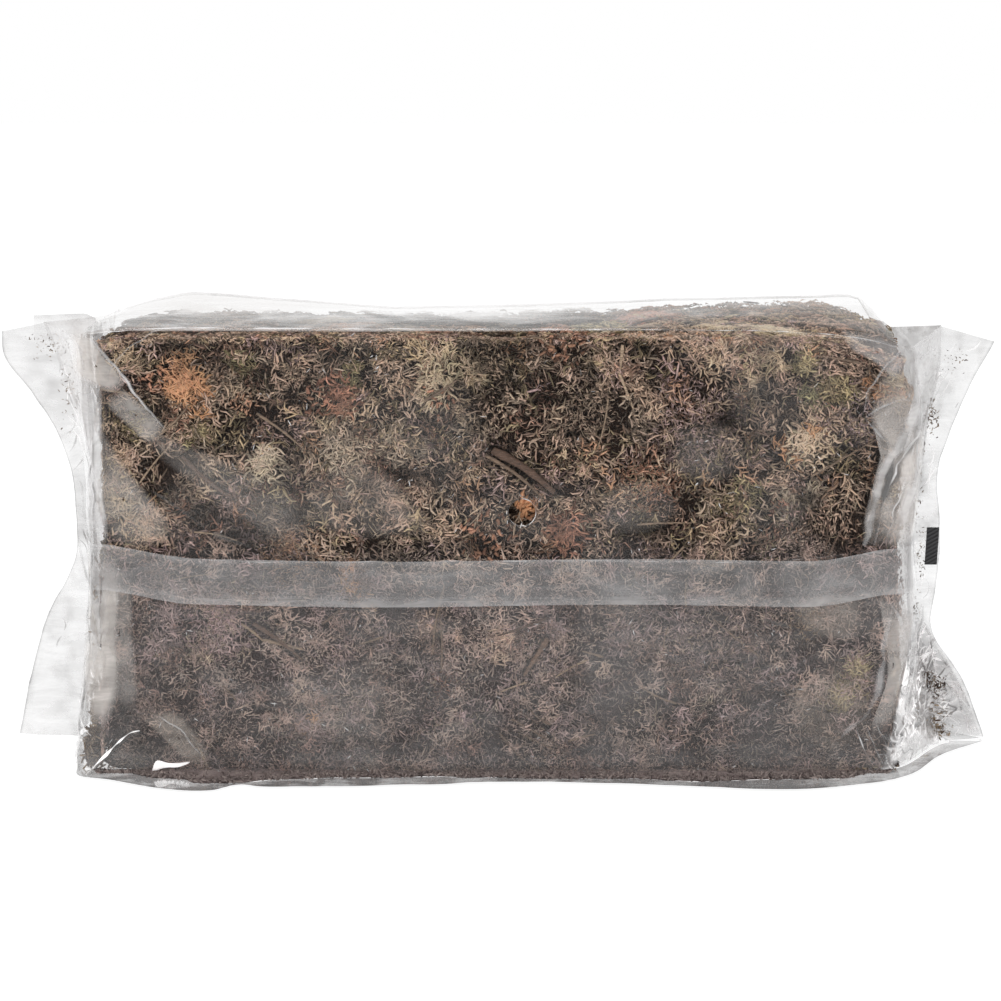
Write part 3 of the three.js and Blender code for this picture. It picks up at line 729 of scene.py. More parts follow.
def grow(plan, random, side, a, b, tint, count, kind, radius, calm=0.0, level=0.1, spread=1.0, plain=0.0):
    """Adds the strands of one tuft at a place on a side. It is a low dome, and its middle lies level mm under
    the film. A calm tuft is flatter and more even in its shades, and a plain one nearer to the common hue."""
    _, along, across, *_ = (np.array(v, float) for v in SIDES[side])
    angle = random.uniform(0, 2 * np.pi)
    around = np.linspace(0, 2 * np.pi, count, endpoint=False) + random.uniform(-0.4, 0.4, count)
    width = random.uniform(0.7, 1.4, count)
    if kind == "head":  # a cushion of short curly branchlets
        reach = np.sqrt(random.random(count)) * radius * 0.92
        headings = angle + random.uniform(0.25, 0.55) * around + random.normal(0, 0.8, count)
        curl = random.choice([-1, 1]) * random.uniform(-0.4, 3.2, count)
        length = random.uniform(2.8, 7.0, count)
        width = random.uniform(0.75, 1.35, count)
    elif kind == "sprig":  # branchlets on both sides of a hidden stem
        reach = random.uniform(-1, 1, count) * radius
        sides = np.where(random.random(count) < 0.5, 1, -1)
        headings = angle + sides * random.uniform(0.15, 0.9, count)
        around = np.full(count, angle)
        curl = -sides * random.uniform(-0.6, 2.2, count)
        length = random.uniform(3.5, 8.0, count)
    elif kind == "fluff":  # fine leaves, combed one way and spread at the rim
        reach = np.sqrt(random.random(count)) * radius
        rim = (reach / radius) ** 2
        headings = angle + random.normal(0, 0.45, count) + rim * 0.9 * np.sin(around - angle)
        curl = random.uniform(-1.1, 1.1, count)
        length = random.uniform(1.8, 5.0, count) * (1 - 0.25 * calm)
        width = random.uniform(0.5, 1.1, count) * (1 - 0.2 * calm)
    else:
        reach = np.sqrt(random.random(count)) * radius
        headings = random.uniform(0, 2 * np.pi, count)
        curl = random.uniform(-2.6, 2.6, count)
        length = random.uniform(2.5, 9, count)
    if kind in SIZES:
        length = random.uniform(*SIZES[kind][:2], count)
        width = random.uniform(*SIZES[kind][2:], count)
    if kind == "plump":
        headings = random.normal(0.9, 0.35, count)
        curl = random.uniform(-0.5, 0.5, count)
    size = {"front": 1.0, "top": 1.2}.get(side, 1.7)
    width = width * (1 - 0.30 * calm) * size
    length = length * (1 - 0.15 * calm) * size
    start = np.stack([np.cos(around) * reach, np.sin(around) * reach], 1)
    tip = start + np.stack([np.cos(headings), np.sin(headings)], 1) * length[:, None] * 0.8
    away = np.stack([np.hypot(*start.T), np.hypot(*tip.T)], 1) / radius
    dome = 2.6 * (1 - 0.5 * calm)
    deep = -(level + dome * np.clip(away, 0, 1.3) ** 2) - random.uniform(0, 0.7, (count, 2))
    direction = np.cos(headings)[:, None] * along + np.sin(headings)[:, None] * across
    tuft = np.exp(random.normal(0, 0.22 - 0.08 * calm)) * (1 + random.normal(0, 0.02, 3))
    bright = np.exp(random.normal(0.02, 0.60 - 0.06 * calm, count) * spread)
    # painted shade: strands that lie deeper under the film are darker, and those close to it a little lighter
    bright = bright * np.exp(np.clip(0.28 * (deep.mean(1) + 1.7), -1.2, 0.3))
    # painted light: on the front and back the upper part of each tuft is lighter, as if lit from above
    bright = bright * (1 + 0.2 * np.clip(start[:, 1] / radius, -1, 1) * (side in ("front", "back")))
    places = on_side(side, a + start[:, 0], b + start[:, 1])
    bright = bright * shade_at(side, places)
    colour = TINTS[tint] * TINT_LIFT * tuft * bright[:, None] * (1 + random.normal(0, 0.012, (count, 3)))
    common = blend(TINTS["umber"], TINTS["mauve"], 0.25 + 0.75 * calm)
    grey = common * (colour.mean(1, keepdims=True) / common.mean())
    colour = blend(colour, grey, max(plain, 0.58 * calm))
    if kind == "needles":
        pale = random.random(count) < 0.16
        colour = np.where(pale[:, None], TINTS["beige"] * random.uniform(0.8, 1.2, (count, 1)), colour * 0.78)
    colour = colour * (BRIGHTEST / np.maximum(colour.max(1, keepdims=True), BRIGHTEST)) ** 0.85
    wave, phase = random.uniform(0.1, 0.9, count), random.uniform(0, 6, count)
    arch, fade = random.uniform(0.0, 0.7, count), random.uniform(-0.4, 0.6, count)
    marks = (np.full(count, mark) for mark in (TINT_NAMES.index(tint), FORM_OF[kind], int(side == "front")))
    keep = (places, direction, length, width, curl, wave, phase, deep, arch, np.clip(colour, 0.004, 0.9), fade)
    for key, value in zip(plan, (*keep, *marks)):
        plan[key].append(value)


# Tufts on each side: of fine leaves, and of coarser branchlets and strands
TUFTS = {
    "front": (1120, 1330),
    "back": (600, 340),
    "top": (430, 330),
    "floor": (70, 40),
    "left": (160, 90),
    "right": (160, 90),
}
COARSE = {"head": 21, "sprig": 9, "loose": 7}  # strands in a coarse tuft of each kind
PATCH_FULL = {"head": 95, "needles": 320, "lumps": 70, "plump": 210}  # strands in a patch of that radius
PATCH_RADIUS = 14
FINE_PLAIN, COARSE_PLAIN = 0.42, 0.34
FIBRES = ((1300, -93, -20, 1.0), (700, -20, 93, 0.0))  # how many, from and to which height, how calm


def cushions(plan, random, side, a, b, radius, tint):
    """An uneven, stretched clump of small cushions."""
    lean = random.uniform(0, np.pi)
    calm = 0.5 if b < -20 and side == "front" else 0.15
    for _ in range(9):
        turn, off = random.uniform(0, 2 * np.pi), random.uniform(0.1, 1.0) * radius
        u, v = np.cos(turn) * off * 1.1, np.sin(turn) * off * 0.55
        at = (a + u * np.cos(lean) - v * np.sin(lean), b + u * np.sin(lean) + v * np.cos(lean))
        small = radius * random.uniform(0.26, 0.5)
        count = int(2.6 * PATCH_FULL["head"] * (small / PATCH_RADIUS) ** 2)
        grow(plan, random, side, *at, tint, count, "head", small, calm, random.uniform(0.2, 1.6), 0.65)


def moss_plan(seed):
    """All loose strands of the bale, in tufts that share a tint."""
    random = chance(seed)
    plan = empty_plan()
    for side, (fine, coarse) in TUFTS.items():
        *_, (half_a, half_b) = SIDES[side]
        number = fine + coarse
        a = random.uniform(-half_a, half_a, number)
        b = random.uniform(-half_b, half_b, number)
        places, _ = pressed(on_side(side, a, b))
        drift = cloud(places, 30, 3) + 0.6 * (cloud(places, 12, 4) - 0.5)
        for i in range(number):
            upper = float(step_up(places[i, 2] + 18 * (drift[i] - 0.5), 84, 104))
            weights = blend(LOWER_MIX, UPPER_MIX, upper)
            order = (drift[i] * 2.7 + random.normal(0, 0.08)) % 1.0
            tint = TINT_NAMES[int(np.searchsorted(np.cumsum(weights / weights.sum()), order).clip(0, 7))]
            place = (plan, random, side, a[i], b[i], tint)
            calm = 1 - upper
            if i < fine:
                count, radii = (48, (5, 8.5)) if side == "front" else (38, (7, 11))
                radius = random.uniform(*radii)
                level = random.uniform(0.3, 3.6) * (1 - 0.45 * calm)
                grow(*place, count, "fluff", radius, calm, level, plain=FINE_PLAIN)
                continue
            small = blend(0.7, 1.0, upper)
            kind = random.choice(list(COARSE), p=[0.42, 0.36, 0.22])
            radius, level = random.uniform(4.5, 9) * small, random.uniform(0.1, 2.6) * (1 - 0.4 * calm)
            grow(*place, int(COARSE[kind] / small), kind, radius, calm, level, plain=COARSE_PLAIN)
    for side, a, b, radius, tint, kind in [(side, *patch) for side in PATCHES for patch in PATCHES[side]]:
        if kind == "head" and radius >= 7:
            cushions(plan, random, side, a, b, radius, tint)
            continue
        count = int(PATCH_FULL[kind] * (radius / PATCH_RADIUS) ** 2)
        grow(plan, random, side, a, b, tint, count, kind, radius, spread=0.7)
    for x in np.arange(-166, 167, 4.2):  # the edges that show from the front are full
        for b in (91.5, 96.5, 102.0, -92.0):
            tint = TINT_NAMES[int(random.choice(8, p=(UPPER_MIX if b > 0 else LOWER_MIX)[:8]))]
            at = (x + random.uniform(-2, 2), b + random.uniform(-1, 1))
            radius, calm = random.uniform(3.5, 5.5), 0.0 if b > 0 else 1.0
            grow(plan, random, "front", *at, tint, 30, "fluff", radius, calm, 0.2, plain=FINE_PLAIN)
    for number, low, high, calm in FIBRES:  # pale fibres lie on top
        for a, b in zip(random.uniform(-165, 165, number), random.uniform(low, high, number)):
            tint = "beige" if random.random() < 0.6 else "straw"
            grow(plan, random, "front", a, b, tint, 2, "fibre", 2.0, calm, 0.0)
    return {key: np.concatenate(value) for key, value in plan.items()}


STRAND_SLOTS = {
    "straw": "moss_straw",
    "beige": "moss",
    "sage": "moss_green",
    "olive": "moss_green",
    "ochre": "moss_ochre",
    "rust": "moss_rust",
    "umber": "moss",
    "mauve": "moss",
    "amber": "moss_ochre",
}


def build_moss():
    """The strands, in a piece for each tint on the left and the right of the front and on all other sides."""
    plan = moss_plan(11)
    bent = (plan["length"] > 7) & (np.abs(plan["curl"]) > 1.2)
    plan["form"] = np.where(bent & (plan["form"] > 0), LONG_FORM, plan["form"])
    finishes = {name: moss_finish(f"moss_{name}") for name in TINT_NAMES}
    front, west = plan["front"] == 1, plan["start"][:, 0] < 0
    parts = {"front_left": front & west, "front_right": front & ~west, "round": ~front}
    for index, name in enumerate(TINT_NAMES):
        for place, inside in parts.items():
            points, faces, tints, start = [], [], [], 0
            for number, form in enumerate((LEAF, BRANCHLET, SHORT_STRAND, LONG_STRAND)):
                wanted = (plan["form"] == number) & (plan["kind"] == index) & inside
                if not wanted.any():
                    continue
                p, f, t = lay_strands(form, {key: value[wanted] for key, value in plan.items()})
                points.append(p)
                faces.append(f + start)
                tints.append(t)
                start += len(p)
            if not points:
                continue
            title = f"strands_{name}_{place}"
            piece = mesh_piece(title, np.concatenate(points), faces, STRAND_SLOTS[name], finishes[name])
            tint_points(piece, np.concatenate(tints))


def build_core():
    """The matted mass under the strands: a block, rounded, subdivided and pushed in and out in lumps."""
    middle = (0, 0, (BALE_TOP + BALE_LOW) / 2 * MM)
    size = ((2 * BALE_HALF - 1) * MM, (2 * SIDE_HALF - 1) * MM, (BALE_TOP - BALE_LOW - 1) * MM)
    bpy.ops.mesh.primitive_cube_add(size=1, location=middle, scale=size)
    piece = made_by_hand("moss_core")
    bpy.context.view_layer.objects.active = piece
    piece.select_set(True)
    bpy.ops.object.mode_set(mode="EDIT")
    bpy.ops.mesh.select_all(action="SELECT")
    bpy.ops.mesh.bevel(offset=0.0025, segments=2, affect="EDGES")
    bpy.ops.object.mode_set(mode="OBJECT")
    remesh = piece.modifiers.new("even", "REMESH")
    remesh.mode = "VOXEL"
    remesh.voxel_size = 0.003
    bpy.ops.object.modifier_apply(modifier="even")
    mesh = piece.data
    points = vertices_of(mesh) / MM
    surface, outward = pressed(points)
    lumps = 1.6 * cloud(points, 9, 8) + 1.3 * cloud(points, 4, 9)
    inset = 5.8 - lumps + 1.1 * hollow_at(surface)
    points = surface - outward * (inset * blend(0.22, 1.0, slack_at(surface)))[:, None]
    move_vertices(mesh, points)
    mesh.update()
    bpy.ops.object.shade_smooth()
    piece.select_set(False)
    return dressed(piece, "moss", core_finish())


# --- twigs ---

# How thick the twig is at each height along it: knots, and a taper
TWIG_GIRTHS = {
    -0.5: 0.9, -0.42: 1.05, -0.34: 1.28, -0.22: 1.0, -0.1: 0.94, 0.02: 0.9, 0.1: 1.1, 0.2: 0.84, 0.32: 0.78,
    0.42: 0.74, 0.5: 0.6,
}


def twig_form():
    """A twig one unit long: a rod cut across, knotted, tapered and broken off square."""
    bpy.ops.mesh.primitive_cylinder_add(vertices=7, radius=0.5, depth=1.0, end_fill_type="NGON")
    piece = bpy.context.object
    bpy.ops.object.mode_set(mode="EDIT")
    cut_across(list(TWIG_GIRTHS)[1:-1])
    for height, girth in TWIG_GIRTHS.items():
        choose_vertices(piece, lambda co: abs(co.z - height) < 0.01)
        bpy.ops.transform.resize(value=(girth, girth, 1))
    bpy.ops.object.mode_set(mode="OBJECT")
    mesh = piece.data
    points = vertices_of(mesh)
    quads = np.array([list(p.vertices) for p in mesh.polygons if len(p.vertices) == 4])
    ends = np.array([list(p.vertices) for p in mesh.polygons if len(p.vertices) == 7])
    bpy.data.objects.remove(piece)
    return points, quads, ends


TWIG_FORM = twig_form()


def bent_twig(side, start, end, width, random, depth=0.5):
    """A copy of the twig form, laid between two places on a side."""
    points, quads, ends = TWIG_FORM
    share = points[:, 2] + 0.5
    a = blend(start[0], end[0], share)
    b = blend(start[1], end[1], share)
    run = np.array([end[0] - start[0], end[1] - start[1]])
    across = np.array([-run[1], run[0]]) / max(np.hypot(*run), 1e-6)
    bow = random.uniform(-0.05, 0.05) * np.hypot(*run) * np.sin(np.pi * share) + random.uniform(-0.4, 0.4)
    a, b = a + across[0] * bow, b + across[1] * bow
    surface, outward = pressed(on_side(side, a, b))
    ahead, _ = pressed(on_side(side, a + run[0] * 0.01, b + run[1] * 0.01))
    way = unit(ahead - surface)
    side_way = unit(np.cross(outward, way))
    rough = 1 + 0.16 * (cloud(points * 7, 1.0, 5) - 0.5)
    placed = (
        surface
        - outward * (depth + width * 0.5)
        + side_way * (points[:, :1] * width * rough[:, None])
        + outward * (points[:, 1:2] * width * rough[:, None])
    )
    return placed, quads, ends


def build_twigs():
    finish = twig_finish()
    random = chance(51)
    brown, tan = linear(88, 66, 54), linear(126, 100, 82)
    for name, side, start, end, width in TWIGS:
        placed, quads, ends = bent_twig(side, start, end, width, random)
        piece = mesh_piece(f"bark_{name}", placed, [quads, ends], "twig", finish)
        tint_points(piece, blend(brown, tan, random.uniform(0, 1)))
        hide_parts(name)
    # thin stems and bits of bark lie all over the bale
    points, quads, ends, tints, base = [], [], [], [], 0
    laid = list(PLACED_STEMS)
    for side, number in STEMS.items():
        *_, (half_a, half_b) = SIDES[side]
        for _ in range(number):
            a, b = random.uniform(-half_a + 12, half_a - 12), random.uniform(-half_b + 6, half_b - 6)
            turn, length = random.uniform(0, 2 * np.pi), random.uniform(8, 30)
            end = (a + np.cos(turn) * length, b + np.sin(turn) * length)
            laid.append((side, (a, b), end, random.uniform(0.5, 1.15), random.uniform(0, 1)))
    for side, start, end, width, pale in laid:
        p, q, e = bent_twig(side, start, end, width, random, random.uniform(0.1, 1.4))
        points.append(p)
        quads.append(q + base)
        ends.append(e + base)
        tints.append(np.tile(blend(linear(84, 62, 50), linear(176, 152, 128), pale), (len(p), 1)))
        base += len(p)
    faces = [np.concatenate(quads), np.concatenate(ends)]
    piece = mesh_piece("loose_stems", np.concatenate(points), faces, "twig", finish)
    tint_points(piece, np.concatenate(tints))


# --- heads and tufts at the places of the solids ---

# The node that each stands in for, side, place, radius and tint
HEADS = [
    ("head_ochre_1", "front", -131, 73, 12, "ochre"),
    ("head_ochre_2", "front", 128, 47, 13, "straw"),
    ("head_ochre_3", "back", 70, 40, 13, "ochre"),
    ("tuft_straw_1", "front", -28, 72, 14, "straw"),
    ("tuft_straw_2", "top", -75, -6, 14, "straw"),
    ("tuft_green_1", "front", -100, 40, 12, "sage"),
    ("tuft_green_2", "back", -95, -20, 13, "olive"),
    ("bunch_rust_1", "front", -67, 66, 11, "rust"),
    ("bunch_rust_2", "front", 26, 10, 13, "rust"),
    ("bunch_rust_3", "top", 62, 8, 13, "rust"),
]
HEAD_SLOTS = {
    "head": "moss_ochre",
    "tuft_straw": "moss_straw",
    "tuft_green": "moss_green",
    "bunch": "moss_rust",
}


def build_heads():
    finish = moss_finish("moss_head")
    for number, (node, side, a, b, radius, tint) in enumerate(HEADS):
        random = chance(300 + number)
        plan = empty_plan()
        kind = "lumps" if tint == "rust" else "head"
        for _ in range(5):
            turn, off = random.uniform(0, 2 * np.pi), random.uniform(0.1, 0.6) * radius
            at = (a + np.cos(turn) * off, b + np.sin(turn) * off)
            grow(plan, random, side, *at, tint, 26, "head", radius * random.uniform(0.4, 0.65), spread=0.6)
        grow(plan, random, side, a, b, tint, 30, kind, radius * 0.5, spread=0.6)
        part = {key: np.concatenate(value) for key, value in plan.items()}
        part["deep"] = part["deep"] * 0.6
        points, faces, tints = lay_strands(LONG_STRAND, part)
        slot = next(s for start, s in HEAD_SLOTS.items() if node.startswith(start))
        piece = mesh_piece(f"leafy_{node}", points, [faces], slot, finish)
        tint_points(piece, tints)
        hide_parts(node)


# --- the film bag ---

# The lines of the right (1) and the left (-1) seal, from the floor up, as distance from the middle and height
SEALS = {
    1: {
        "inner": [(197, 3), (190, 24), (180, 55), (179, 82), (180, 117), (185, 143), (190, 165), (190, 185)],
        "outer": [
            (213, 2), (204, 26), (188, 55), (190, 68), (191, 99), (190, 118), (195, 138), (204, 159),
            (213, 178),
        ],
        "fold": [
            (164, 3), (168, 37), (172, 56), (173, 76), (171, 99), (172, 118), (173, 140), (171, 163),
            (168, 181),
        ],
        "fold_back": [(164, 3), (170, 40), (173, 76), (172, 118), (173, 140), (171, 160), (168, 177)],
    },
    -1: {
        "inner": [(188.5, 3), (184, 30), (181, 55), (179, 80), (180, 117), (182, 140), (190, 162), (199, 186)],
        "outer": [
            (213, 4), (203, 48), (199, 59), (192, 71), (187, 82), (186, 105), (188, 122), (193, 137),
            (205, 156), (217, 174), (217, 182),
        ],
        "fold": [(180, 3), (178, 32), (174, 54), (172, 80), (172, 118), (173, 150), (177, 187)],
        "fold_back": [(180, 3), (178, 32), (174, 54), (172, 80), (172, 118), (173, 150), (176, 183)],
    },
}
CORNER_PULL = 6.0  # how tightly the film goes round the end of the bale
RIPPLE = 2.2  # how far the seals wave off their plane
FOLD_Y = 59.0
TUCK_DEPTH = 56.0  # how deep the top and the floor are tucked in at the seals
TUCK_START = 0.25
ARC_POINTS = 6
FACE_FLATS = np.unique(np.concatenate([np.linspace(0, 1, 34)[1:-1], np.linspace(0.55, 0.68, 13)]))
TOP_FLATS = np.linspace(0, 1, 26)[1:-1]
END_SHARES = np.linspace(0, 1, 37)[1:]
MIDDLE_XS = np.unique(np.concatenate([np.linspace(-BODY_HALF, BODY_HALF, 77), np.linspace(1.5, 15, 13)]))
WAYS_OUT = {"front": (0, -1, 0), "back": (0, 1, 0), "top": (0, 0, 1), "floor": (0, 0, -1)}


def smooth_line(pairs, number=200):
    """A smooth line through pairs, as evenly spaced points."""
    knots = np.array(pairs, float)
    length = run_along(knots)
    slope = np.gradient(knots, length, axis=0)
    at = np.linspace(0, length[-1], number)
    index = np.clip(np.searchsorted(length, at) - 1, 0, len(length) - 2)
    span = (length[index + 1] - length[index])[:, None]
    t = ((at - length[index])[:, None]) / span
    a, b = knots[index], knots[index + 1]
    ma, mb = slope[index] * span, slope[index + 1] * span
    line = (2 * t**3 - 3 * t**2 + 1) * a + (t**3 - 2 * t**2 + t) * ma
    line = line + (3 * t**2 - 2 * t**3) * b + (t**3 - t**2) * mb
    run = run_along(line)
    even = np.linspace(0, run[-1], number)
    return np.stack([np.interp(even, run, line[:, k]) for k in range(line.shape[1])], 1)


def seal_line(way, name, share):
    """Points of a line of the seal, at shares of its length from the floor up."""
    line = smooth_line(SEALS[way][name])
    at = np.clip(share, 0, 1) * (len(line) - 1)
    x = way * np.interp(at, np.arange(len(line)), line[:, 0])
    z = np.interp(at, np.arange(len(line)), line[:, 1])
    return spots(x, RIPPLE * np.sin(z / 21 + way), z)


def tube_panel(x, side):
    """One film of the straight tube at x: the points over half of a long edge, the flat and the next half."""
    past = max(0.0, abs(x) - BODY_HALF)
    inset = END_ROUND - math.sqrt(max(0.0, END_ROUND**2 - past**2))
    half = FACE_OUT - inset - SWELL
    low, high = BALE_LOW + inset, BALE_TOP - inset * 0.8
    radius, foot = EDGE + FILM_OFF, FOOT_EDGE + FILM_OFF
    left, right = -half + EDGE, half - EDGE
    down, up = low + FOOT_EDGE, high - EDGE
    rising = np.radians(np.linspace(45, 0, ARC_POINTS))
    falling = rising[::-1]
    if side in ("front", "back"):
        sign = -1 if side == "front" else 1
        edge = left if side == "front" else right
        low_edge = edge + sign * (EDGE - FOOT_EDGE)
        flat = np.full(len(FACE_FLATS), edge + sign * radius)
        y = (low_edge + sign * np.cos(rising) * foot, flat, edge + sign * np.cos(falling) * radius)
        z = (down - np.sin(rising) * foot, blend(down, up, FACE_FLATS), up + np.sin(falling) * radius)
    else:
        sign = 1 if side == "top" else -1
        edge = up if side == "top" else down
        if side == "floor":
            radius, left, right = foot, -half + FOOT_EDGE, half - FOOT_EDGE
        flat = np.full(len(TOP_FLATS), edge + sign * radius)
        y = (left - np.sin(rising) * radius, blend(left, right, TOP_FLATS), right + np.sin(falling) * radius)
        z = (edge + sign * np.cos(rising) * radius, flat, edge + sign * np.cos(falling) * radius)
    y, z = np.concatenate(y), np.concatenate(z)
    rise = (z - (low + high) / 2) / ((high - low) / 2)
    bulge = SWELL * np.clip(1 - np.clip(rise, 0, 1) ** 2, 0, 1) * max(0.3, 1 - (x / BALE_HALF) ** 4)
    fall = np.where((y > 0) & (rise > 0), SHOULDER * y / half * rise, 0)
    lift = lift_at(x, y) * np.clip(rise, 0, 1) ** 4
    return spots(float(x), y + np.sign(y) * bulge, z - fall + lift)


def whole_tube(x):
    return {side: tube_panel(x, side) for side in FILMS}


def at_height(line, height):
    z = line[:, 2]
    return np.array([np.interp(height, z, line[:, k]) for k in range(3)])


def folded_station(way, t):
    """The four films at a share t of the way from the bale's end to the seal."""
    start = whole_tube(way * BODY_HALF)
    made = {}
    for side, sign in (("front", -1), ("back", 1)):
        line = start[side]
        share = (line[:, 2] - line[0, 2]) / (line[-1, 2] - line[0, 2])
        end = seal_line(way, "inner", share)
        end[:, 1] += sign * 0.4
        corner = seal_line(way, "fold" if side == "front" else "fold_back", share)
        corner[:, 1] = sign * FOLD_Y
        near, between, far = (1 - t) ** 2, 2 * t * (1 - t) * CORNER_PULL, t * t
        made[side] = (near * line + between * corner + far * end) / (near + between + far)
    drop = TUCK_DEPTH * max(0.0, t - TUCK_START) / (1 - TUCK_START)
    for side in ("top", "floor"):
        creases = []
        for flap in (made["front"], made["back"]):
            height = flap[-1, 2] - drop if side == "top" else flap[0, 2] + drop
            creases.append(at_height(flap, height))
        line = start[side]
        across = ((line[:, 1] - line[0, 1]) / (line[-1, 1] - line[0, 1]))[:, None]
        slack = (line - blend(line[0], line[-1], across)) * (1 - t) ** 2
        made[side] = blend(creases[0], creases[1], across) + slack
    return made


def film_grids():
    """Every film of the bag as a grid of points, and each station's share of its fold, signed."""
    stations = [(-t, folded_station(-1, t)) for t in END_SHARES[::-1]]
    stations += [(0.0, whole_tube(x)) for x in MIDDLE_XS]
    stations += [(t, folded_station(1, t)) for t in END_SHARES]
    shares = np.array([share for share, _ in stations])
    return shares, {side: np.stack([made[side] for _, made in stations]) for side in FILMS}


def grid_normals(grid, outward_hint):
    across = np.gradient(grid, axis=0)
    up = np.gradient(grid, axis=1)
    normals = unit(np.cross(across, up))
    middle = normals[len(normals) // 2, normals.shape[1] // 2]
    return normals if np.dot(middle, outward_hint) > 0 else -normals


def ridges(points, size, seed):
    """Sharp creases: 1 along thin wandering lines, falling to 0 away from them."""
    return 1 - np.clip(np.abs(cloud(points, size, seed) - 0.5) * 7, 0, 1)


def creased(side, shares, grid):
    """The film with its slack and creases: small over the moss, and deep in the folded ends."""
    normals = grid_normals(grid, WAYS_OUT[side])
    fold = np.abs(shares)[:, None]
    slanted = np.linspace(0, 1, grid.shape[1]) - 0.3 * fold
    fan = spots(shares[:, None] * 1.4, slanted * 13, 0.3)
    fan_fine = spots(shares[:, None] * 3.0, slanted * 34, 1.7)
    amount = np.sin(np.pi * np.clip(fold, 0, 1)) ** 0.7
    push = amount * (2.6 * (cloud(fan, 1, 21) - 0.35) + 1.0 * ridges(fan_fine, 1, 22))
    over_moss = 1 - step_up(fold, 0.0, 0.1)
    soft = 0.5 * cloud(grid, 26, 23) + 0.45 * ridges(grid, 22, 24) * cloud(grid, 40, 25)
    push = push * 0.3 if side == "floor" else push + over_moss * soft
    return grid + normals * np.clip(push, 0, 4)[..., None]


def haze_over(side, shares, grid):
    """How hazy the film is at each point, and how pale the haze is."""
    fold = np.broadcast_to(np.abs(shares)[:, None], grid.shape[:2])
    x, y, z = grid[..., 0], grid[..., 1], grid[..., 2]
    smoke = step_up(cloud(grid, 34, 31), 0.52, 0.85)
    tone = np.full(x.shape, 0.56)
    if side == "top":
        back = step_up(y, -52, 22)
        right = step_up(x + 20 * (cloud(grid, 40, 33) - 0.5), 10, 80)
        haze = blend(0.42 + 0.50 * back, 0.10 + 0.36 * back, right)
        haze = haze + 0.25 * (cloud(grid * [1, 2, 1], 26, 34) - 0.5)
        tone = 0.68 + 0.10 * back - 0.06 * right - 0.22 * right * back
    elif side == "floor":
        haze = np.full(x.shape, 0.2)
    else:
        lower = 1 - step_up(z, 70, 100)
        haze = 0.012 + 0.11 * lower + 0.06 * smoke
        haze = haze + 0.12 * (1 - step_up(z, 2, 16))
        haze = haze + 0.14 * step_up(np.abs(x), 160, 172) * step_up(z, 20, 60)
        tone = tone + 0.3 * step_up(np.abs(x), 164, 173)
        haze = haze + 0.22 * step_up(x, 168, 176) * step_up(z, 60, 100)
        tone = tone - 0.26 * step_up(x, 170, 178) * step_up(z, 60, 100)
    haze = haze + 0.24 * step_up(fold, 0.45, 0.9)
    haze = haze + 0.3 * ridges(grid, 24, 32) * step_up(fold, 0.15, 0.5)
    return haze, np.minimum(tone + 0.2 * step_up(fold, 0.3, 0.8), 0.95)


def open_vent(points, faces):
    """Leaves out the faces in the air hole, and moves the points round it onto its rim."""
    centre = points[faces].mean(1)
    faces = faces[np.hypot(centre[:, 0] - VENT_AT[0], centre[:, 2] - VENT_AT[1]) > VENT_RADIUS]
    used = np.bincount(faces.ravel(), minlength=len(points))
    near = np.hypot(points[:, 0] - VENT_AT[0], points[:, 2] - VENT_AT[1])
    rim = (used > 0) & (used < 4) & (near < VENT_RADIUS + 2.5)
    push = (points[rim][:, [0, 2]] - VENT_AT) / near[rim][:, None] * VENT_RADIUS + VENT_AT
    points[rim, 0], points[rim, 2] = push[:, 0], push[:, 1]
    return faces


def build_films(finish):
    """The four films of the bag; the front one stands in for the bag's solid."""
    shares, grids = film_grids()
    for side, grid in grids.items():
        made = creased(side, shares, grid)
        points = made.reshape(-1, 3)
        faces = grid_faces(*grid.shape[:2], side in ("back", "top"))
        if side == "front":
            faces = open_vent(points, faces)
        points[:, 2] = np.maximum(points[:, 2], 0.15)
        piece = mesh_piece(f"film_{side}", points, [faces], "film", finish)
        for name, values in zip(("haze", "tone"), haze_over(side, shares, made)):
            point_values(piece, name, values)
        point_values(piece, "warm", np.full(len(points), 0.28 if side == "top" else 0.0))
        if side == "front":
            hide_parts("film_bag")
    return shares, grids


def build_band(shares, grids, finish):
    """The folded seam that lies across the front, from seal to seal."""
    rows = np.linspace(0, 1, 9)
    lines = []
    for line in grids["front"]:
        sag = 0.6 * math.sin(line[0, 0] / 31.0) + 6.0 * float(step_up(abs(line[0, 0]), 128, 172))
        lines.append([at_height(line, blend(*BAND, share) + sag) for share in rows])
    grid = np.array(lines)
    off = 1.3 + 0.5 * cloud(grid, 16, 41) + 0.5 * np.exp(-(((rows - BAND_FOLD) / 0.05) ** 2))[None]
    grid = grid + grid_normals(grid, WAYS_OUT["front"]) * off[..., None]
    edge = np.exp(-((rows / 0.1) ** 2)) + np.exp(-(((rows - 1) / 0.05) ** 2))
    edge = edge + 0.7 * np.exp(-(((rows - BAND_FOLD) / 0.04) ** 2))
    haze = 0.27 + 0.14 * edge[None] + 0.12 * np.abs(shares)[:, None] + 0.08 * (cloud(grid, 30, 42) - 0.5)
    film_piece("seam_band", grid, finish, haze, 0.60)


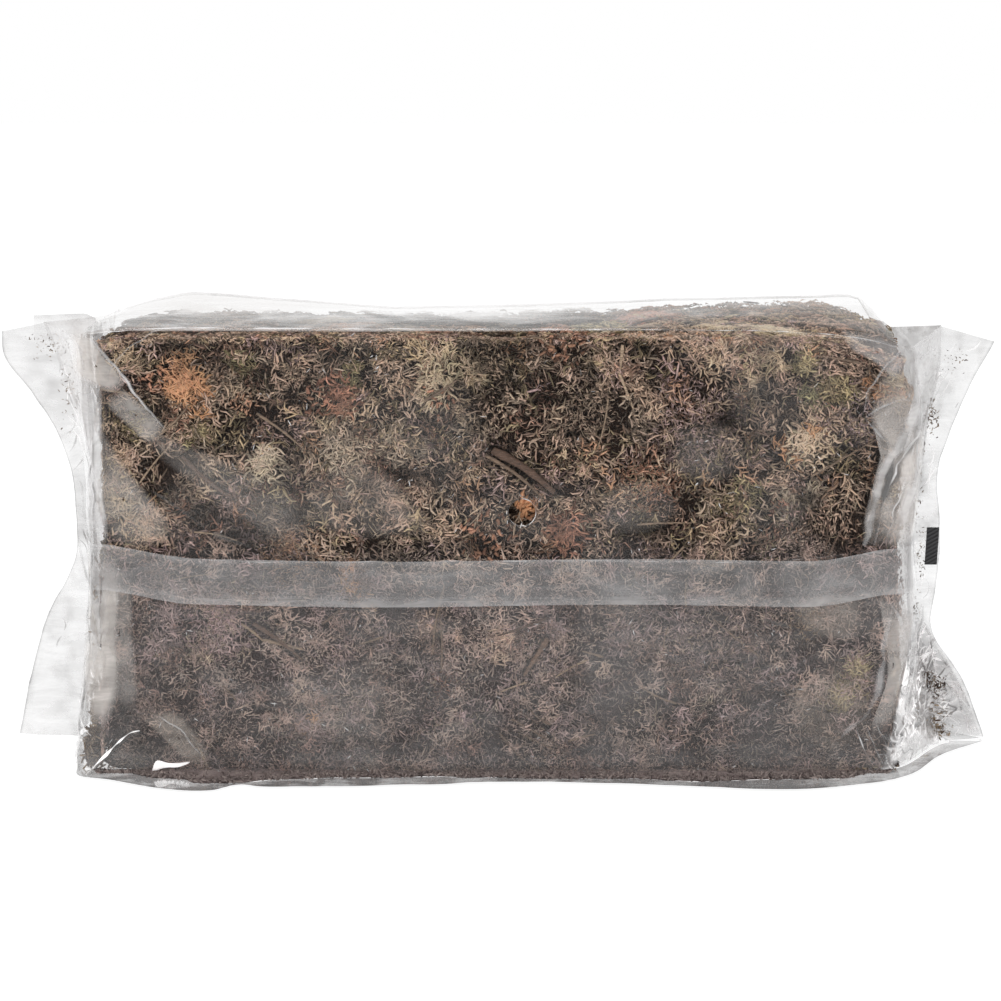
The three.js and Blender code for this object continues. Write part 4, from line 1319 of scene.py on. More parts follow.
def build_fins(finish):
    """The crimped fins outside the seals, waving off their plane."""
    for way, name in ((1, "right"), (-1, "left")):
        up = np.linspace(0, 1, 90)
        inner, outer = seal_line(way, "inner", up), seal_line(way, "outer", up)
        inner[:, 0] -= way * 1.5
        across = np.concatenate([np.linspace(0, 0.94, 13), [0.965, 1.0]])
        grid = inner[:, None] * (1 - across)[None, :, None] + outer[:, None] * across[None, :, None]
        wave = 1.6 * np.sin(grid[..., 2] / 9.0 + grid[..., 0] / 6.0) * across + 1.2 * (cloud(grid, 9, 43) - 0.5)
        grid[..., 1] += wave * np.minimum(1, across * 3)
        grid[..., 0] += way * 0.5 * (cloud(grid, 5, 44) - 0.5) * across
        edge = step_up(across, 0.955, 0.99)
        haze = 0.42 + 0.18 * ridges(grid, 9, 45) - 0.1 * across + 0.35 * edge
        tone = 0.55 + 0.3 * (cloud(grid, 14, 46) - 0.5) - 0.3 * edge
        film_piece(f"fin_{name}", grid, finish, haze, tone, way > 0)


# The outer edge of the film that lies round the bale on the floor, and where its clear lip begins
CREASE = [
    (-188, 2), (-185, 24), (-181.5, 48), (-178.8, 64), (-165, 71), (-153, 79), (-142, 85), (-131, 88.5),
    (-121, 87.5), (-109.5, 78), (-101, 81.5), (-84, 82), (-49, 79.5), (-23, 77), (-5, 74.6), (12, 74.6),
    (39, 76), (58, 78), (83, 81.5), (107, 86), (120, 86.5), (137, 83), (168, 67), (194, 22), (212, 3),
]
LIP = [
    (-178.8, 50), (-175, 50), (-161, 56), (-149, 67), (-133, 71), (-129.5, 77), (-110, 77), (-97.6, 71),
    (-85, 70), (-72, 67.6), (-48, 68.5), (-29, 65), (-14, 68), (-4, 67), (8, 69), (39, 70), (53, 69),
    (83, 74.6), (108, 71), (125, 70), (144, 70), (160, 56), (170, 40), (195.5, 4), (212, 0),
]
# Across the crease: four rows of matt film and eight of its lip, and how light each row is. The matt rows are
# painted dark as the shade under the bale's foot; the lip's first rows are painted highlights along its fold,
# and its last two a painted dark line at its edge
MATT_ROWS = {-1: np.array([0.97, 0.98, 0.99, 0.995]), 1: np.array([0, 0.3, 0.6, 0.96])}
LIP_ROWS = np.array([0, 0.08, 0.2, 0.45, 0.7, 0.86, 0.93, 1.0])
MATT_SHADE = np.array([0.02, 0.02, 0.015, 0.005])
LIP_LIGHT = np.array([1.5, 1.9, 1.1, 0.95, 0.9, 0.8, 0.02, 0.02])
LIGHT_ALONG = ([-170, -140, -110, 100, 135, 170], [0.42, 0.36, 0.17, 0.17, 0.26, 0.42])


def lip_at(x):
    return np.interp(x, *np.array(LIP).T)


def build_crease(finish):
    """The pinched crease of film that lies round the bale on the floor, with its clear lip."""
    for sign, name in ((-1, "front"), (1, "back")):
        edge = smooth_line(CREASE, 260)
        if sign > 0:
            edge[:, 1] *= 0.96
        root_x = np.clip(edge[:, 0] * 0.97, -176, 196)
        far = step_up(np.abs(root_x), 166, 198)
        root_y = np.minimum(edge[:, 1] - 3, 49 - 46 * far)
        begins = (lip_at(edge[:, 0]) - root_y) / np.maximum(edge[:, 1] - root_y, 1)
        begins = np.where(edge[:, 0] < -178, 0.6, np.clip(begins, 0.1, 0.93))[:, None]
        across = np.concatenate([MATT_ROWS[sign] * begins, begins + (1 - begins) * LIP_ROWS], 1)
        x = blend(root_x[:, None], edge[:, :1], across)
        y = sign * blend(root_y[:, None], edge[:, 1:2], across)
        flat = spots(x, y, 0.0)
        z = 0.4 + 0.6 * cloud(flat, 16, 51) * across + 0.4 * ridges(flat, 18, 52) * across * (1.2 - across)
        patchy_tone = 0.85 + 0.3 * cloud(flat, 9, 54)
        light = np.interp(edge[:, 0], *LIGHT_ALONG)[:, None]
        # painted light and shade across the crease, varying a little from place to place: dark under the bale's
        # foot, highlights along the lip's fold and a dark line at its edge
        tone = np.concatenate([np.broadcast_to(MATT_SHADE, (len(x), 4)), LIP_LIGHT * light], 1) * patchy_tone
        haze = np.repeat([0.92, 0.88], [len(MATT_SHADE), len(LIP_LIGHT)])
        tone = np.clip(tone, 0.004, 0.95)
        film_piece(f"floor_crease_{name}", spots(x, y, z), finish, haze, tone, sign > 0)


def build_slipped(finish):
    """Matted moss in the fold of the film, from under the bale's front to where the clear lip begins."""
    x = np.linspace(-174, 164, 400)
    lip = (lip_at(x) - 0.6 + 0.8 * (cloud(spots(x, 0.0, 0.0), 7, 111) - 0.5))[:, None]
    across = np.linspace(0, 1, 12)
    y = -blend(54.0, lip, across)
    flat = spots(x[:, None], y, 0.0)
    z = 0.5 + 1.5 * (1 - across) * step_up(lip, 57, 62) + 0.4 * cloud(flat, 2.5, 112)
    piece = mesh_piece("slipped_moss", spots(x[:, None], y, z), [grid_faces(*z.shape, True)], "moss", finish)
    share = 0.55 * cloud(flat * [0.5, 1, 1], 1.4, 113) + 0.45 * cloud(flat, 7, 114)
    # painted shade: darker along the outer edge, next to the lip
    share = share - 0.5 * np.exp(-(((across - 1) / 0.12) ** 2))
    shade = blend(linear(112, 100, 99), linear(194, 177, 173), np.clip(share, 0, 1)[..., None])
    tint_points(piece, shade.reshape(-1, 3))


NEAREST = 6  # points of the film that a place on it is measured by
REACH = 6.0  # and how far away they may be, squared


def front_depth(front, places):
    """How far forward the front film stands at x, z places."""
    found = []
    for x, z in places:
        away = (front[:, 0] - x) ** 2 + (front[:, 2] - z) ** 2
        near = np.argpartition(away, NEAREST)[:NEAREST]
        close = near[away[near] < REACH]
        found.append(front[close, 1].min() if len(close) else front[np.argmin(away), 1])
    found = np.array(found)
    for _ in range(2):
        found[1:-1] = (found[:-2] + 2 * found[1:-1] + found[2:]) / 4
    return found


# The film's front edges and the upper edge of the seam, painted light as highlights; the seam's seal lines,
# dark;
# and painted shade in dark lines just under the seam and along deep folds and crevices: how strong, how wide,
# how pale, how far in front of the film, and x, z along the front
EDGE_LINES = [
    (0.85, 0.55, 0.95, 0.6, [(-172, 188.2), (-140, 190.2), (-100, 190.2), (-30, 190.0)]),
    (0.60, 0.45, 0.95, 0.6, [(-40, 190.0), (20, 189.8), (70, 189.6), (118, 189.0)]),
    (0.45, 0.45, 0.95, 0.6, [(112, 189.1), (136, 187.6), (152, 185.4), (164, 182.4)]),
    (0.45, 0.40, 0.03, 2.4, [
        (-156, 80), (-120, 77.0), (-60, 76.4), (0, 76.2), (60, 76.6), (120, 77.6), (156, 81),
    ]),
    (0.35, 0.35, 0.03, 2.4, [(-148, 80.4), (-90, 78.2), (-20, 77.8), (70, 78.4), (140, 80.4)]),
    (0.40, 0.60, 0.03, 0.7, [
        (-166, 78), (-150, 75), (-120, 73), (0, 72.6), (60, 72.8), (120, 73), (150, 75), (168, 79),
    ]),
    (0.35, 0.40, 0.90, 2.2, [(-165, 98.6), (-130, 94), (-30, 93.0), (40, 93.0), (130, 94), (165, 98.6)]),
    (0.80, 2.60, 0.05, 1.2, [(163.5, 136), (161, 126), (158, 113), (155.5, 101)]),
    (0.50, 2.40, 0.02, 0.7, [(77, 71.5), (92, 70.5), (107, 68.2), (124, 63.5), (138, 60)]),
    (0.30, 2.00, 0.02, 0.7, [(112, 38), (124, 33), (137, 27)]),
    (0.45, 2.60, 0.02, 0.7, [(-146, 122), (-134, 114), (-120, 104), (-106, 99)]),
]
# Crisp lines where the film is creased, each drawn as a painted highlight with a painted dark reflection beside
# it:
# how white, how wide, and x, z along the front
CREASE_LINES = [
    (0.60, 1.3, [(-174, 189), (-164, 178), (-156, 167.5), (-149, 158.5), (-140, 148)]),
    (0.85, 1.0, [(-171, 152), (-171.5, 130), (-172.5, 100), (-174, 70), (-175, 52)]),
    (0.60, 0.7, [(-184, 118), (-182, 100), (-179, 80), (-176, 58), (-175, 46)]),
    (0.50, 0.7, [(-186, 96), (-182, 72), (-177, 55)]),
    (0.85, 0.9, [(-177, 52), (-178.5, 30), (-180, 12), (-180.5, 2)]),
    (0.30, 0.8, [(-163, 29), (-150, 26), (-138, 22), (-130, 12), (-122, 2)]),
    (0.25, 1.0, [(-166, 170), (-150, 186), (-140, 190)]),
    (0.25, 0.9, [(168, 184), (160, 175), (153, 165), (150, 154)]),
    (0.30, 1.2, [(172, 160), (166, 160), (158, 157), (151, 153)]),
    (0.30, 1.0, [(151, 153), (156, 147), (163, 140)]),
    (0.45, 5.0, [(176, 172), (173, 158), (167, 145), (160, 131), (155, 114), (152, 99)]),
    (0.60, 1.2, [(179, 160), (175, 148), (165, 133), (159, 113), (156, 98)]),
    (0.45, 5.0, [(178, 142), (173, 128), (168, 112), (165, 98)]),
    (0.60, 1.0, [(172, 140), (168, 126), (163, 110), (160, 97)]),
    (0.65, 1.0, [(193, 165), (184, 146), (179, 128), (178, 110)]),
    (0.45, 2.4, [(160, 80), (168, 66), (171, 52), (170, 34), (166, 16)]),
    (0.26, 3.0, [(165, 76), (161, 60), (160, 44), (154, 26), (143, 16)]),
    (0.95, 1.2, [(184, 62), (180, 50), (176, 36), (170, 20), (165, 13)]),
    (0.85, 1.0, [(186, 52), (187, 42), (186, 30), (183, 18), (184, 6)]),
    (0.95, 1.4, [(165, 13), (171, 12), (176, 13)]),
    (0.95, 1.2, [(178, 46), (174, 38), (170, 26)]),
    (0.80, 0.9, [(189.5, 42), (188, 36), (186, 28)]),
    (0.90, 0.9, [(205, 26), (199, 24), (190, 25)]),
    (0.85, 0.8, [(207, 12), (202, 9), (196, 8)]),
    (0.60, 0.8, [(150, 20), (153, 12), (157, 5)]),
    (0.50, 0.7, [(154, 22), (158, 12), (161, 5)]),
    (0.45, 0.7, [(158, 24), (163, 12), (166, 5)]),
]
# Flat glints and milky patches of film: how thick and how pale their haze is, and their corners
MILKY_PATCHES = [
    (0.98, 2.40, [(-148.6, 1.2), (-146.5, 6.2), (-141, 5.2), (-132, 5.8), (-137, 3.6), (-143, 3.2)]),
    (0.56, 0.88, [(-180, 189), (-173, 189.5), (-164, 178), (-156, 167), (-161, 163), (-168, 165), (-178, 170)]),
    (0.60, 0.90, [(-179, 172), (-169, 170), (-166.5, 150), (-166.5, 120), (-167, 98), (-175, 96), (-179, 130)]),
    (0.36, 0.76, [(-158, 166), (-149, 158), (-140, 148), (-146, 142), (-157, 150), (-165, 160)]),
    (0.10, 0.66, [(-163, 158), (-140, 146), (-112, 134), (-76, 106), (-82, 99), (-118, 117), (-146, 138)]),
    (0.05, 0.66, [(-150, 146), (-126, 140), (-100, 122), (-78, 104), (-100, 104), (-130, 124)]),
    (0.24, 0.72, [(-168, 150), (-156, 132), (-138, 102), (-160, 98), (-169, 110)]),
    (0.80, 0.62, [(-178, 96), (-178, 30), (-170, 18), (-163, 30), (-162, 60), (-164, 96)]),
    (0.30, 0.60, [(-167, 92), (-166, 36), (-157, 26), (-155, 60), (-161, 92)]),
    (0.34, 0.52, [(-153, 25), (-140, 29), (-130, 20), (-123, 3), (-131, 4), (-143, 15)]),
    (0.30, 0.90, [(140, 190), (160, 186), (172, 178), (166, 168), (154, 176), (142, 184)]),
    (0.60, 1.60, [(166, 14), (170, 26), (177, 42), (182, 54), (183, 44), (180, 24), (175, 13)]),
    (0.16, 0.70, [(160, 178), (154, 160), (153, 148), (166, 140), (171, 150), (168, 176)]),
    (0.24, 0.62, [(153, 157), (163, 160), (168, 150), (164, 141), (158, 143)]),
    (0.36, 0.84, [
        (153, 155), (166, 170), (172, 163), (174, 148), (172, 99), (160, 99), (160, 127), (160, 143),
    ]),
    (0.30, 0.82, [
        (153, 155), (160, 160), (166, 150), (163, 120), (166, 99), (153, 99), (155, 127), (158, 142),
    ]),
    (0.42, 0.84, [(165, 136), (176, 150), (181, 140), (179, 112), (172, 97), (162, 97), (165, 116)]),
    (0.20, 0.90, [(184, 46), (196, 44), (205, 24), (211, 6), (188, 4), (185, 24)]),
    (0.34, 0.84, [(158, 78), (172, 76), (173, 50), (168, 24), (156, 16), (162, 40)]),
    (0.20, 0.55, [(120, 76), (150, 79), (149, 58), (139, 58), (124, 66)]),
    (0.12, 0.55, [(120, 40), (150, 50), (156, 20), (140, 8), (122, 20)]),
    (0.13, 0.66, [(-82, 128), (-60, 136), (-38, 122), (-30, 108), (-62, 102), (-84, 110)]),
    (0.10, 0.60, [(-100, 40), (-60, 50), (-30, 30), (-60, 10), (-100, 14)]),
    (0.10, 0.60, [(70, 150), (92, 152), (104, 136), (90, 124), (72, 130)]),
    (0.10, 0.60, [(40, 122), (60, 128), (76, 114), (60, 104), (42, 108)]),
]


def ribbon(line, width, level, tone, wander=1.0):
    """A thin strip along a line that faces the front: its points, faces, haze and tone."""
    stray = spots(cloud(line, 5, 66) - 0.5, 0.0, cloud(line, 5, 67) - 0.5)
    line = line + stray * min(2.0, len(line) / 8) * wander
    way = unit(np.gradient(line, axis=0))
    across = unit(np.cross(way, [0.0, 1.0, 0.0]))
    reach = np.sin(np.pi * np.linspace(0.06, 0.94, len(line))) ** 0.5
    reach = reach * (0.35 + 1.1 * np.clip(2.2 * cloud(line, 6, 68) - 0.6, 0, 1))
    rows = np.stack([line + across * (k * width * 0.5 * reach)[:, None] for k in (-1, -0.35, 0.35, 1)], 1)
    rows[:, 1:3, 1] -= 0.2
    rows[..., 2] = np.maximum(rows[..., 2], 0.2)
    haze = np.array([0.0, 1.0, 1.0, 0.0])[None] * (level * reach)[:, None]
    return rows.reshape(-1, 3), grid_faces(len(line), 4, True), haze.reshape(-1), np.full(haze.size, tone)


def patch_of_film(front, corners, level, pale):
    """A soft-edged patch that lies on the front film: its points, faces, haze and tone."""
    corners = np.array(corners, float)
    middle = corners.mean(0)
    outline = smooth_line(np.vstack([corners, corners[:1]]), 33)[:-1]
    count = len(outline)
    rings = [0.04, 0.4, 0.7, 1.0]
    flat = np.concatenate([middle + (outline - middle) * ring for ring in rings])
    points = spots(flat[:, 0], front_depth(front, flat) - 0.4, flat[:, 1])
    j = np.arange(count)
    after = (j + 1) % count
    band = np.stack([j, j + count, after + count, after], -1)
    faces = [band + ring * count for ring in range(len(rings) - 1)]
    haze = np.repeat([level, level, level * 0.85, level * 0.9 if level > 0.9 else 0.0], count)
    return points, np.concatenate(faces), haze, np.full(len(haze), pale)


# Where the film is crushed: middle x and z, spread, how many, how long, main way, how white. Its creases are
# painted highlights and painted dark reflections
CRUSHED = [
    ((192, 22), (8, 12), 56, 7, 0.3, 0.95),
    ((184, 42), (5, 9), 36, 6, 0.9, 0.95),
    ((176, 24), (4, 14), 20, 8, 1.6, 0.9),
    ((181, 80), (4, 14), 14, 8, 1.6, 0.5),
    ((183, 130), (4, 18), 16, 11, 1.3, 0.5),
    ((190, 165), (8, 8), 14, 8, 0.9, 0.5),
    ((164, 12), (6, 7), 14, 7, 2.0, 0.6),
    ((-186, 150), (8, 22), 18, 12, 1.9, 0.45),
    ((-182, 90), (4, 30), 18, 14, 1.7, 0.5),
    ((-176, 30), (3, 18), 12, 9, 1.6, 0.5),
    ((-196, 60), (6, 22), 12, 10, 1.5, 0.4),
]
GLINTS = 2600  # places that are tried; most are left out


def crinkle_lines(random):
    """Short creases where the film is crushed: on the ends, and most of all low down on the right. Most are
    painted highlights, the rest painted dark reflections.
    """
    for middle, spread, number, length, way, white in CRUSHED:
        outer_x, outer_z = np.array(SEALS[1 if middle[0] > 0 else -1]["outer"]).T
        for _ in range(number):
            place = np.array(middle) + random.normal(0, 0.7, 2) * spread
            angle = way + random.normal(0, 0.55)
            bend = random.normal(0, 0.5)
            at = np.linspace(-0.5, 0.5, 6) * length * random.uniform(0.4, 1.3)
            turn = angle + bend * at / length
            line = place + np.stack([np.cos(turn) * at, np.sin(turn) * at], -1)
            line[:, 1] = np.maximum(line[:, 1], 1.0)
            if (np.abs(line[:, 0]) > np.interp(line[:, 1], outer_z, outer_x) - 1.5).any():
                continue
            width, strength = random.uniform(0.5, 1.1), white * random.uniform(0.5, 1.2)
            yield line, width, strength, 1.5 if random.random() < 0.7 else 0.2


def glints(random):
    """Tiny bright ticks all over the front, where the film's fine creases catch the light."""
    places = np.stack([random.uniform(-168, 168, GLINTS), random.uniform(2, 188, GLINTS)], -1)
    deep = np.insert(places, 1, -60, axis=1)
    places = places[random.random(len(places)) < 0.08 + 0.5 * step_up(cloud(deep, 24, 62), 0.5, 0.8)]
    for place in places:
        angle, length = random.uniform(0, np.pi), random.uniform(0.6, 3.2)
        line = place + np.outer(np.array([-0.5, -0.15, 0.15, 0.5]) * length, [np.cos(angle), np.sin(angle)])
        yield line, random.uniform(0.25, 0.5), random.uniform(0.25, 0.75), 0.95


# The fold at the left foot of the bag, drawn as a painted highlight, and how far forward it and its painted
# shadow lie
CORNER = [(-178, -1), (-173, 4), (-167.5, 9.5), (-162, 15), (-157, 19), (-153, 20)]
CORNER_DEPTH, SHADOW_DEPTH = -62.8, -62.2


def build_creases(front, finish):
    """Raised creases, glints and milky patches of the film, laid over it as thin strips. The bright strips are
    painted highlights; most dark strips are painted shade and reflection, and two are the seam's seal lines.
    """
    random = chance(83)
    parts = []

    def strip(line, width, white, tone, off=0.6, wander=1.0, depth=None):
        if depth is None:
            proud = off + 4.4 * step_up(line[:, 0], 162, 167) * (1 - step_up(line[:, 1], 56, 61))
            depth = front_depth(front, line) - proud
        parts.append(ribbon(spots(line[:, 0], depth, line[:, 1]), width, white, tone, wander))

    # painted highlights along the edges and painted shade in dark lines, beside the seam's seal lines
    for strong, width, tone, off, places in EDGE_LINES:
        run = run_along(np.array(places, float))[-1]
        strip(smooth_line(places, int(run / 1.6)), width, strong, tone, off, 0.12)
    for white, width, places in CREASE_LINES:
        run = run_along(np.array(places, float))[-1]
        line = smooth_line(places, int(max(8, run / 2.2)))
        # a painted highlight along each crease, and a painted dark reflection beside it
        strip(line, width, white * 0.8, 0.95)
        strip(line + [0.4 + width * 0.4, -0.4 - width * 0.4], width * 1.3, white * 0.35, 0.05)
    corner = smooth_line(CORNER, 40)
    # the fold's painted highlight and its painted shadow
    strip(corner, 1.5, 1.0, 2.4, wander=0.1, depth=CORNER_DEPTH)
    strip(corner + [0.8, -1.0], 1.4, 0.6, 0.02, wander=0.2, depth=SHADOW_DEPTH)
    for lines in (crinkle_lines(random), glints(random)):
        for line, width, white, tone in lines:
            strip(line, width, white, tone)
    for level, pale, corners in MILKY_PATCHES:
        parts.append(patch_of_film(front, corners, level, pale))
    points, faces, haze, tone = zip(*parts)
    starts = np.concatenate([[0], np.cumsum([len(part) for part in points])[:-1]])
    faces = np.concatenate([part + start for part, start in zip(faces, starts)])
    piece = mesh_piece("film_creases", np.concatenate(points), [faces], "film", finish)
    tone = np.concatenate(tone)
    point_values(piece, "haze", np.concatenate(haze))
    point_values(piece, "tone", tone)
    warm = np.where(tone < 0.9, 0.4, 0.0) + np.where((tone > 0.5) & (tone < 0.6), 0.5, 0.0)
    point_values(piece, "warm", warm)


# Crumbs that lie loose between the films: the middle, the spread, how many, how long, how pale
CRUMBS = [
    ((179.5, -11, 34.0), (4.2, 3, 2.4), 90, 1.7, 0.12),
    ((184, -9, 31.5), (4.0, 3, 2.6), 60, 1.6, 0.15),
    ((189, -8, 28), (5.0, 3, 3.4), 110, 1.7, 0.2),
    ((191, -5, 24), (3.0, 1, 4.6), 50, 1.4, 0.2),
    ((182.5, -10, 20), (3.0, 4, 6.5), 150, 2.0, 0.6),
    ((186, -9, 12), (3.6, 4, 6.0), 220, 2.2, 0.55),
    ((190, -8, 7), (4.6, 3, 3.2), 150, 2.0, 0.45),
    ((193, -3, 14), (3.0, 1, 3), 40, 1.3, 0.4),
    ((181, -4, 60), (1.5, 1, 5), 24, 1.4, 0.2),
    ((183, -4, 84), (1.5, 1, 12), 50, 1.3, 0.3),
    ((181, -6, 120), (2, 2, 16), 70, 1.4, 0.3),
    ((186, -5, 146), (3, 2, 8), 60, 1.8, 0.3),
    ((196, -2, 170), (6, 1, 6), 30, 1.2, 0.2),
    ((-196, -2, 176), (8, 1, 5), 70, 1.2, 0.4),
    ((-188, -4, 160), (4, 2, 14), 60, 1.2, 0.4),
    ((-174.5, -46, 8), (2.6, 7, 6), 800, 4.0, 0.35),
    ((-173, -48, 25), (1.5, 5, 10), 360, 3.6, 0.5),
    ((-172.5, -48, 60), (1.0, 4, 16), 200, 3.0, 0.6),
    ((155, -55, 2.5), (9, 3, 1.2), 240, 2.4, 0.45),
]
SLIPPED_CRUMBS = 2600


def build_crumbs():
    """Loose crumbs, broken strands and the moss that has slipped into the bag's corners."""
    random = chance(71)
    centres, length, light = [], [], []
    for middle, spread, number, long_ones, paleness in CRUMBS:
        centres.append(np.array(middle) + random.normal(0, 0.6, (number, 3)) * np.array(spread))
        length.append(long_ones * random.uniform(0.4, 1.3, number))
        light.append(np.full(number, paleness))
    centres, length, light = np.concatenate(centres), np.concatenate(length), np.concatenate(light)
    centres[:, 2] = np.maximum(centres[:, 2], 1.5)
    slipped = random.uniform(-172, 164, SLIPPED_CRUMBS)  # the crumbs of the moss that has slipped out
    forward = -blend(59.0, np.maximum(lip_at(slipped), 59.5), random.random(SLIPPED_CRUMBS))
    slipped = spots(slipped, forward, random.uniform(0.9, 1.6, SLIPPED_CRUMBS))
    centres = np.concatenate([centres, slipped])
    length = np.concatenate([length, random.uniform(1.0, 3.6, SLIPPED_CRUMBS)])
    light = np.concatenate([light, np.full(SLIPPED_CRUMBS, 0.5)])
    count = len(centres)
    form = BRANCHLET
    way = unit(random.normal(0, 1, (count, 3)) * [1, 0.3, 1])
    side_way = unit(np.cross(way, [0.0, 1.0, 0.01]))
    up_way = np.cross(way, side_way)
    width = np.clip(length * random.uniform(0.2, 0.5, count), 0.25, 1.3)
    ring = form["rings"]
    along = (form["at"][ring] - 0.5)[None, :, None] * length[:, None, None] * way[:, None]
    bow = (np.sin(form["at"] * np.pi)[ring] * 0.2)[None, :, None] * length[:, None, None] * up_way[:, None]
    across = form["offsets"][None, :, :1] * width[:, None, None] * side_way[:, None]
    over = form["offsets"][None, :, 1:] * width[:, None, None] * up_way[:, None]
    points = centres[:, None] + along + bow + across + over
    points[..., 2] = np.maximum(points[..., 2], 0.6)
    faces = form["faces"][None] + (np.arange(count) * len(ring))[:, None, None]
    share = np.clip(light + random.normal(0, 0.28, count), 0, 1.1)[:, None]
    shade = blend(linear(76, 58, 50), linear(196, 174, 148), share)
    shade[-SLIPPED_CRUMBS:] = blend(linear(104, 93, 92), linear(200, 184, 178), share[-SLIPPED_CRUMBS:])
    piece = mesh_piece("loose_crumbs", points, [faces.reshape(-1, 3)], "moss", moss_finish("moss_crumbs"))
    tint_points(piece, np.repeat(shade, len(ring), axis=0))


# Where crumbs show through the crushed film: x, z and how wide
DEBRIS = [(180, 34, 3.5), (189, 28.5, 4), (183.5, 20, 4), (187, 11, 5)]


FACETS = 130  # flat places in the crushed film


def build_crushed(front, finish):
    """The crushed film low down on the right, between the moss and the edge of the fin, in small facets. Each
    facet is painted lighter or darker as light would fall on it, with painted highlights and painted dark
    reflections along its folds and a painted sheen.
    """
    random = chance(97)
    z = np.linspace(2.5, 60, 150)
    inner = np.interp(z, [2, 7, 20, 50, 62], [159, 160, 164, 170.5, 172])
    outer = np.interp(z, [2, 26, 55, 64], [213, 204, 188, 188]) - 2.5
    across = np.linspace(0, 1, 110)
    x = blend(inner[:, None], outer[:, None], across[None])
    z = z[:, None]
    flat = spots(x, 0.0, z)
    warped = flat + 7.0 * spots(cloud(flat, 5, 101) - 0.5, 0.0, cloud(flat, 4, 105) - 0.5)
    seeds = np.stack([random.uniform(158, 212, FACETS), random.uniform(0, 64, FACETS)], 1)
    gap_x, gap_z = warped[..., 0, None] - seeds[:, 0], warped[..., 2, None] - seeds[:, 1]
    away = np.hypot(gap_x * 1.4 + gap_z * 0.5, gap_z * 0.8)
    order = np.argsort(away, axis=-1)[..., :2]
    near = np.take_along_axis(away, order, -1)
    fold = np.exp(-(((near[..., 1] - near[..., 0]) / 0.42) ** 2))
    # painted light: a brightness for each facet, as if each caught the light at its own angle
    lit = random.uniform(0, 1, FACETS)
    facet, other = lit[order[..., 0]], lit[order[..., 1]]
    kind = (facet + other) % 1.0  # which folds show at all, and which of them are painted highlights rather than painted dark lines
    fold = fold * (kind > 0.25)
    # painted sheen along wandering ridges
    sheen = ridges(warped, 7, 107) ** 2
    y = front_depth(front, flat[..., [0, 2]].reshape(-1, 2)).reshape(x.shape)
    for _ in range(8):
        y[1:-1] = (y[:-2] + 2 * y[1:-1] + y[2:]) / 4
        y[:, 1:-1] = (y[:, :-2] + 2 * y[:, 1:-1] + y[:, 2:]) / 4
    relief = 1.6 * fold + 2.0 * ridges(warped, 15, 103) + 0.8 * cloud(flat, 4, 104)
    rim = step_up(across, 0.0, 0.06) * (1 - step_up(z, 50, 58))
    debris = sum(np.exp(-((x - at_x) ** 2 + (z - at_z) ** 2) / wide**2) for at_x, at_z, wide in DEBRIS)
    haze = (0.26 + 0.36 * facet + 0.5 * np.maximum(fold, sheen)) * rim * (1 - 0.6 * np.clip(debris, 0, 1))
    # painted light: the facets' own brightness, with painted highlights in the sheen and along some folds, and
    # painted dark reflections along the others
    plane = blend(0.48 + 0.32 * facet, 1.4, sheen)
    tone = np.where(kind > 0.42, blend(plane, 1.6, fold), blend(plane, 0.05, fold))
    film_piece("crushed_film", spots(x, y - 0.5 - relief, z), finish, haze, tone)


def build_flap(finish):
    """The corner of film that stands up behind the left seal."""
    at = np.linspace(-203.2, -176.3, 16)
    low, high = np.full(16, 178.0), np.interp(at, [-203.2, -180.7, -176.3], [188.8, 189.7, 187.5])
    share = np.linspace(0, 1, 7)
    z = low[:, None] * (1 - share) + high[:, None] * share
    x = at[:, None] * (1 - share) + at[:, None] * share
    y = 3.0 + 1.5 * cloud(spots(x, 0.0, z), 8, 91)
    film_piece("tucked_corner", spots(x, y, z), finish, 0.18 + 0.3 * share**4, 0.8 - 0.3 * share**4)


def build_vent(finish):
    """The punched rim of the air hole, with painted highlight arcs on its right and a painted shadow on its
    upper left.
    """
    place = (VENT_AT[0] * MM, -(FACE_OUT + FILM_OFF + 0.3) * MM, VENT_AT[1] * MM)
    bpy.ops.mesh.primitive_torus_add(
        location=place,
        rotation=(math.pi / 2, 0, 0),
        major_radius=VENT_RADIUS * MM,
        minor_radius=0.0002,
        major_segments=48,
        minor_segments=6,
    )
    rim = made_by_hand("vent_rim")
    points = vertices_of(rim.data) / MM
    points[:, 1] -= 0.4 * cloud(points, 3, 61)
    move_vertices(rim.data, points)
    rim.data.update()
    dressed(rim, "film", finish)
    angle = np.arctan2(points[:, 2] - VENT_AT[1], points[:, 0] - VENT_AT[0])
    # painted highlights in two arcs, and a painted shadow on the upper left
    arcs = step_up(np.cos(angle - 1.3), 0.9, 0.98) + 0.7 * step_up(np.cos(angle + 0.5), 0.8, 0.98)
    shadow = step_up(np.cos(angle - 2.7), 0.1, 0.6)
    point_values(rim, "haze", 0.10 + 0.85 * np.clip(arcs, 0, 1) + 0.6 * shadow)
    point_values(rim, "tone", 0.95 - 0.93 * shadow)


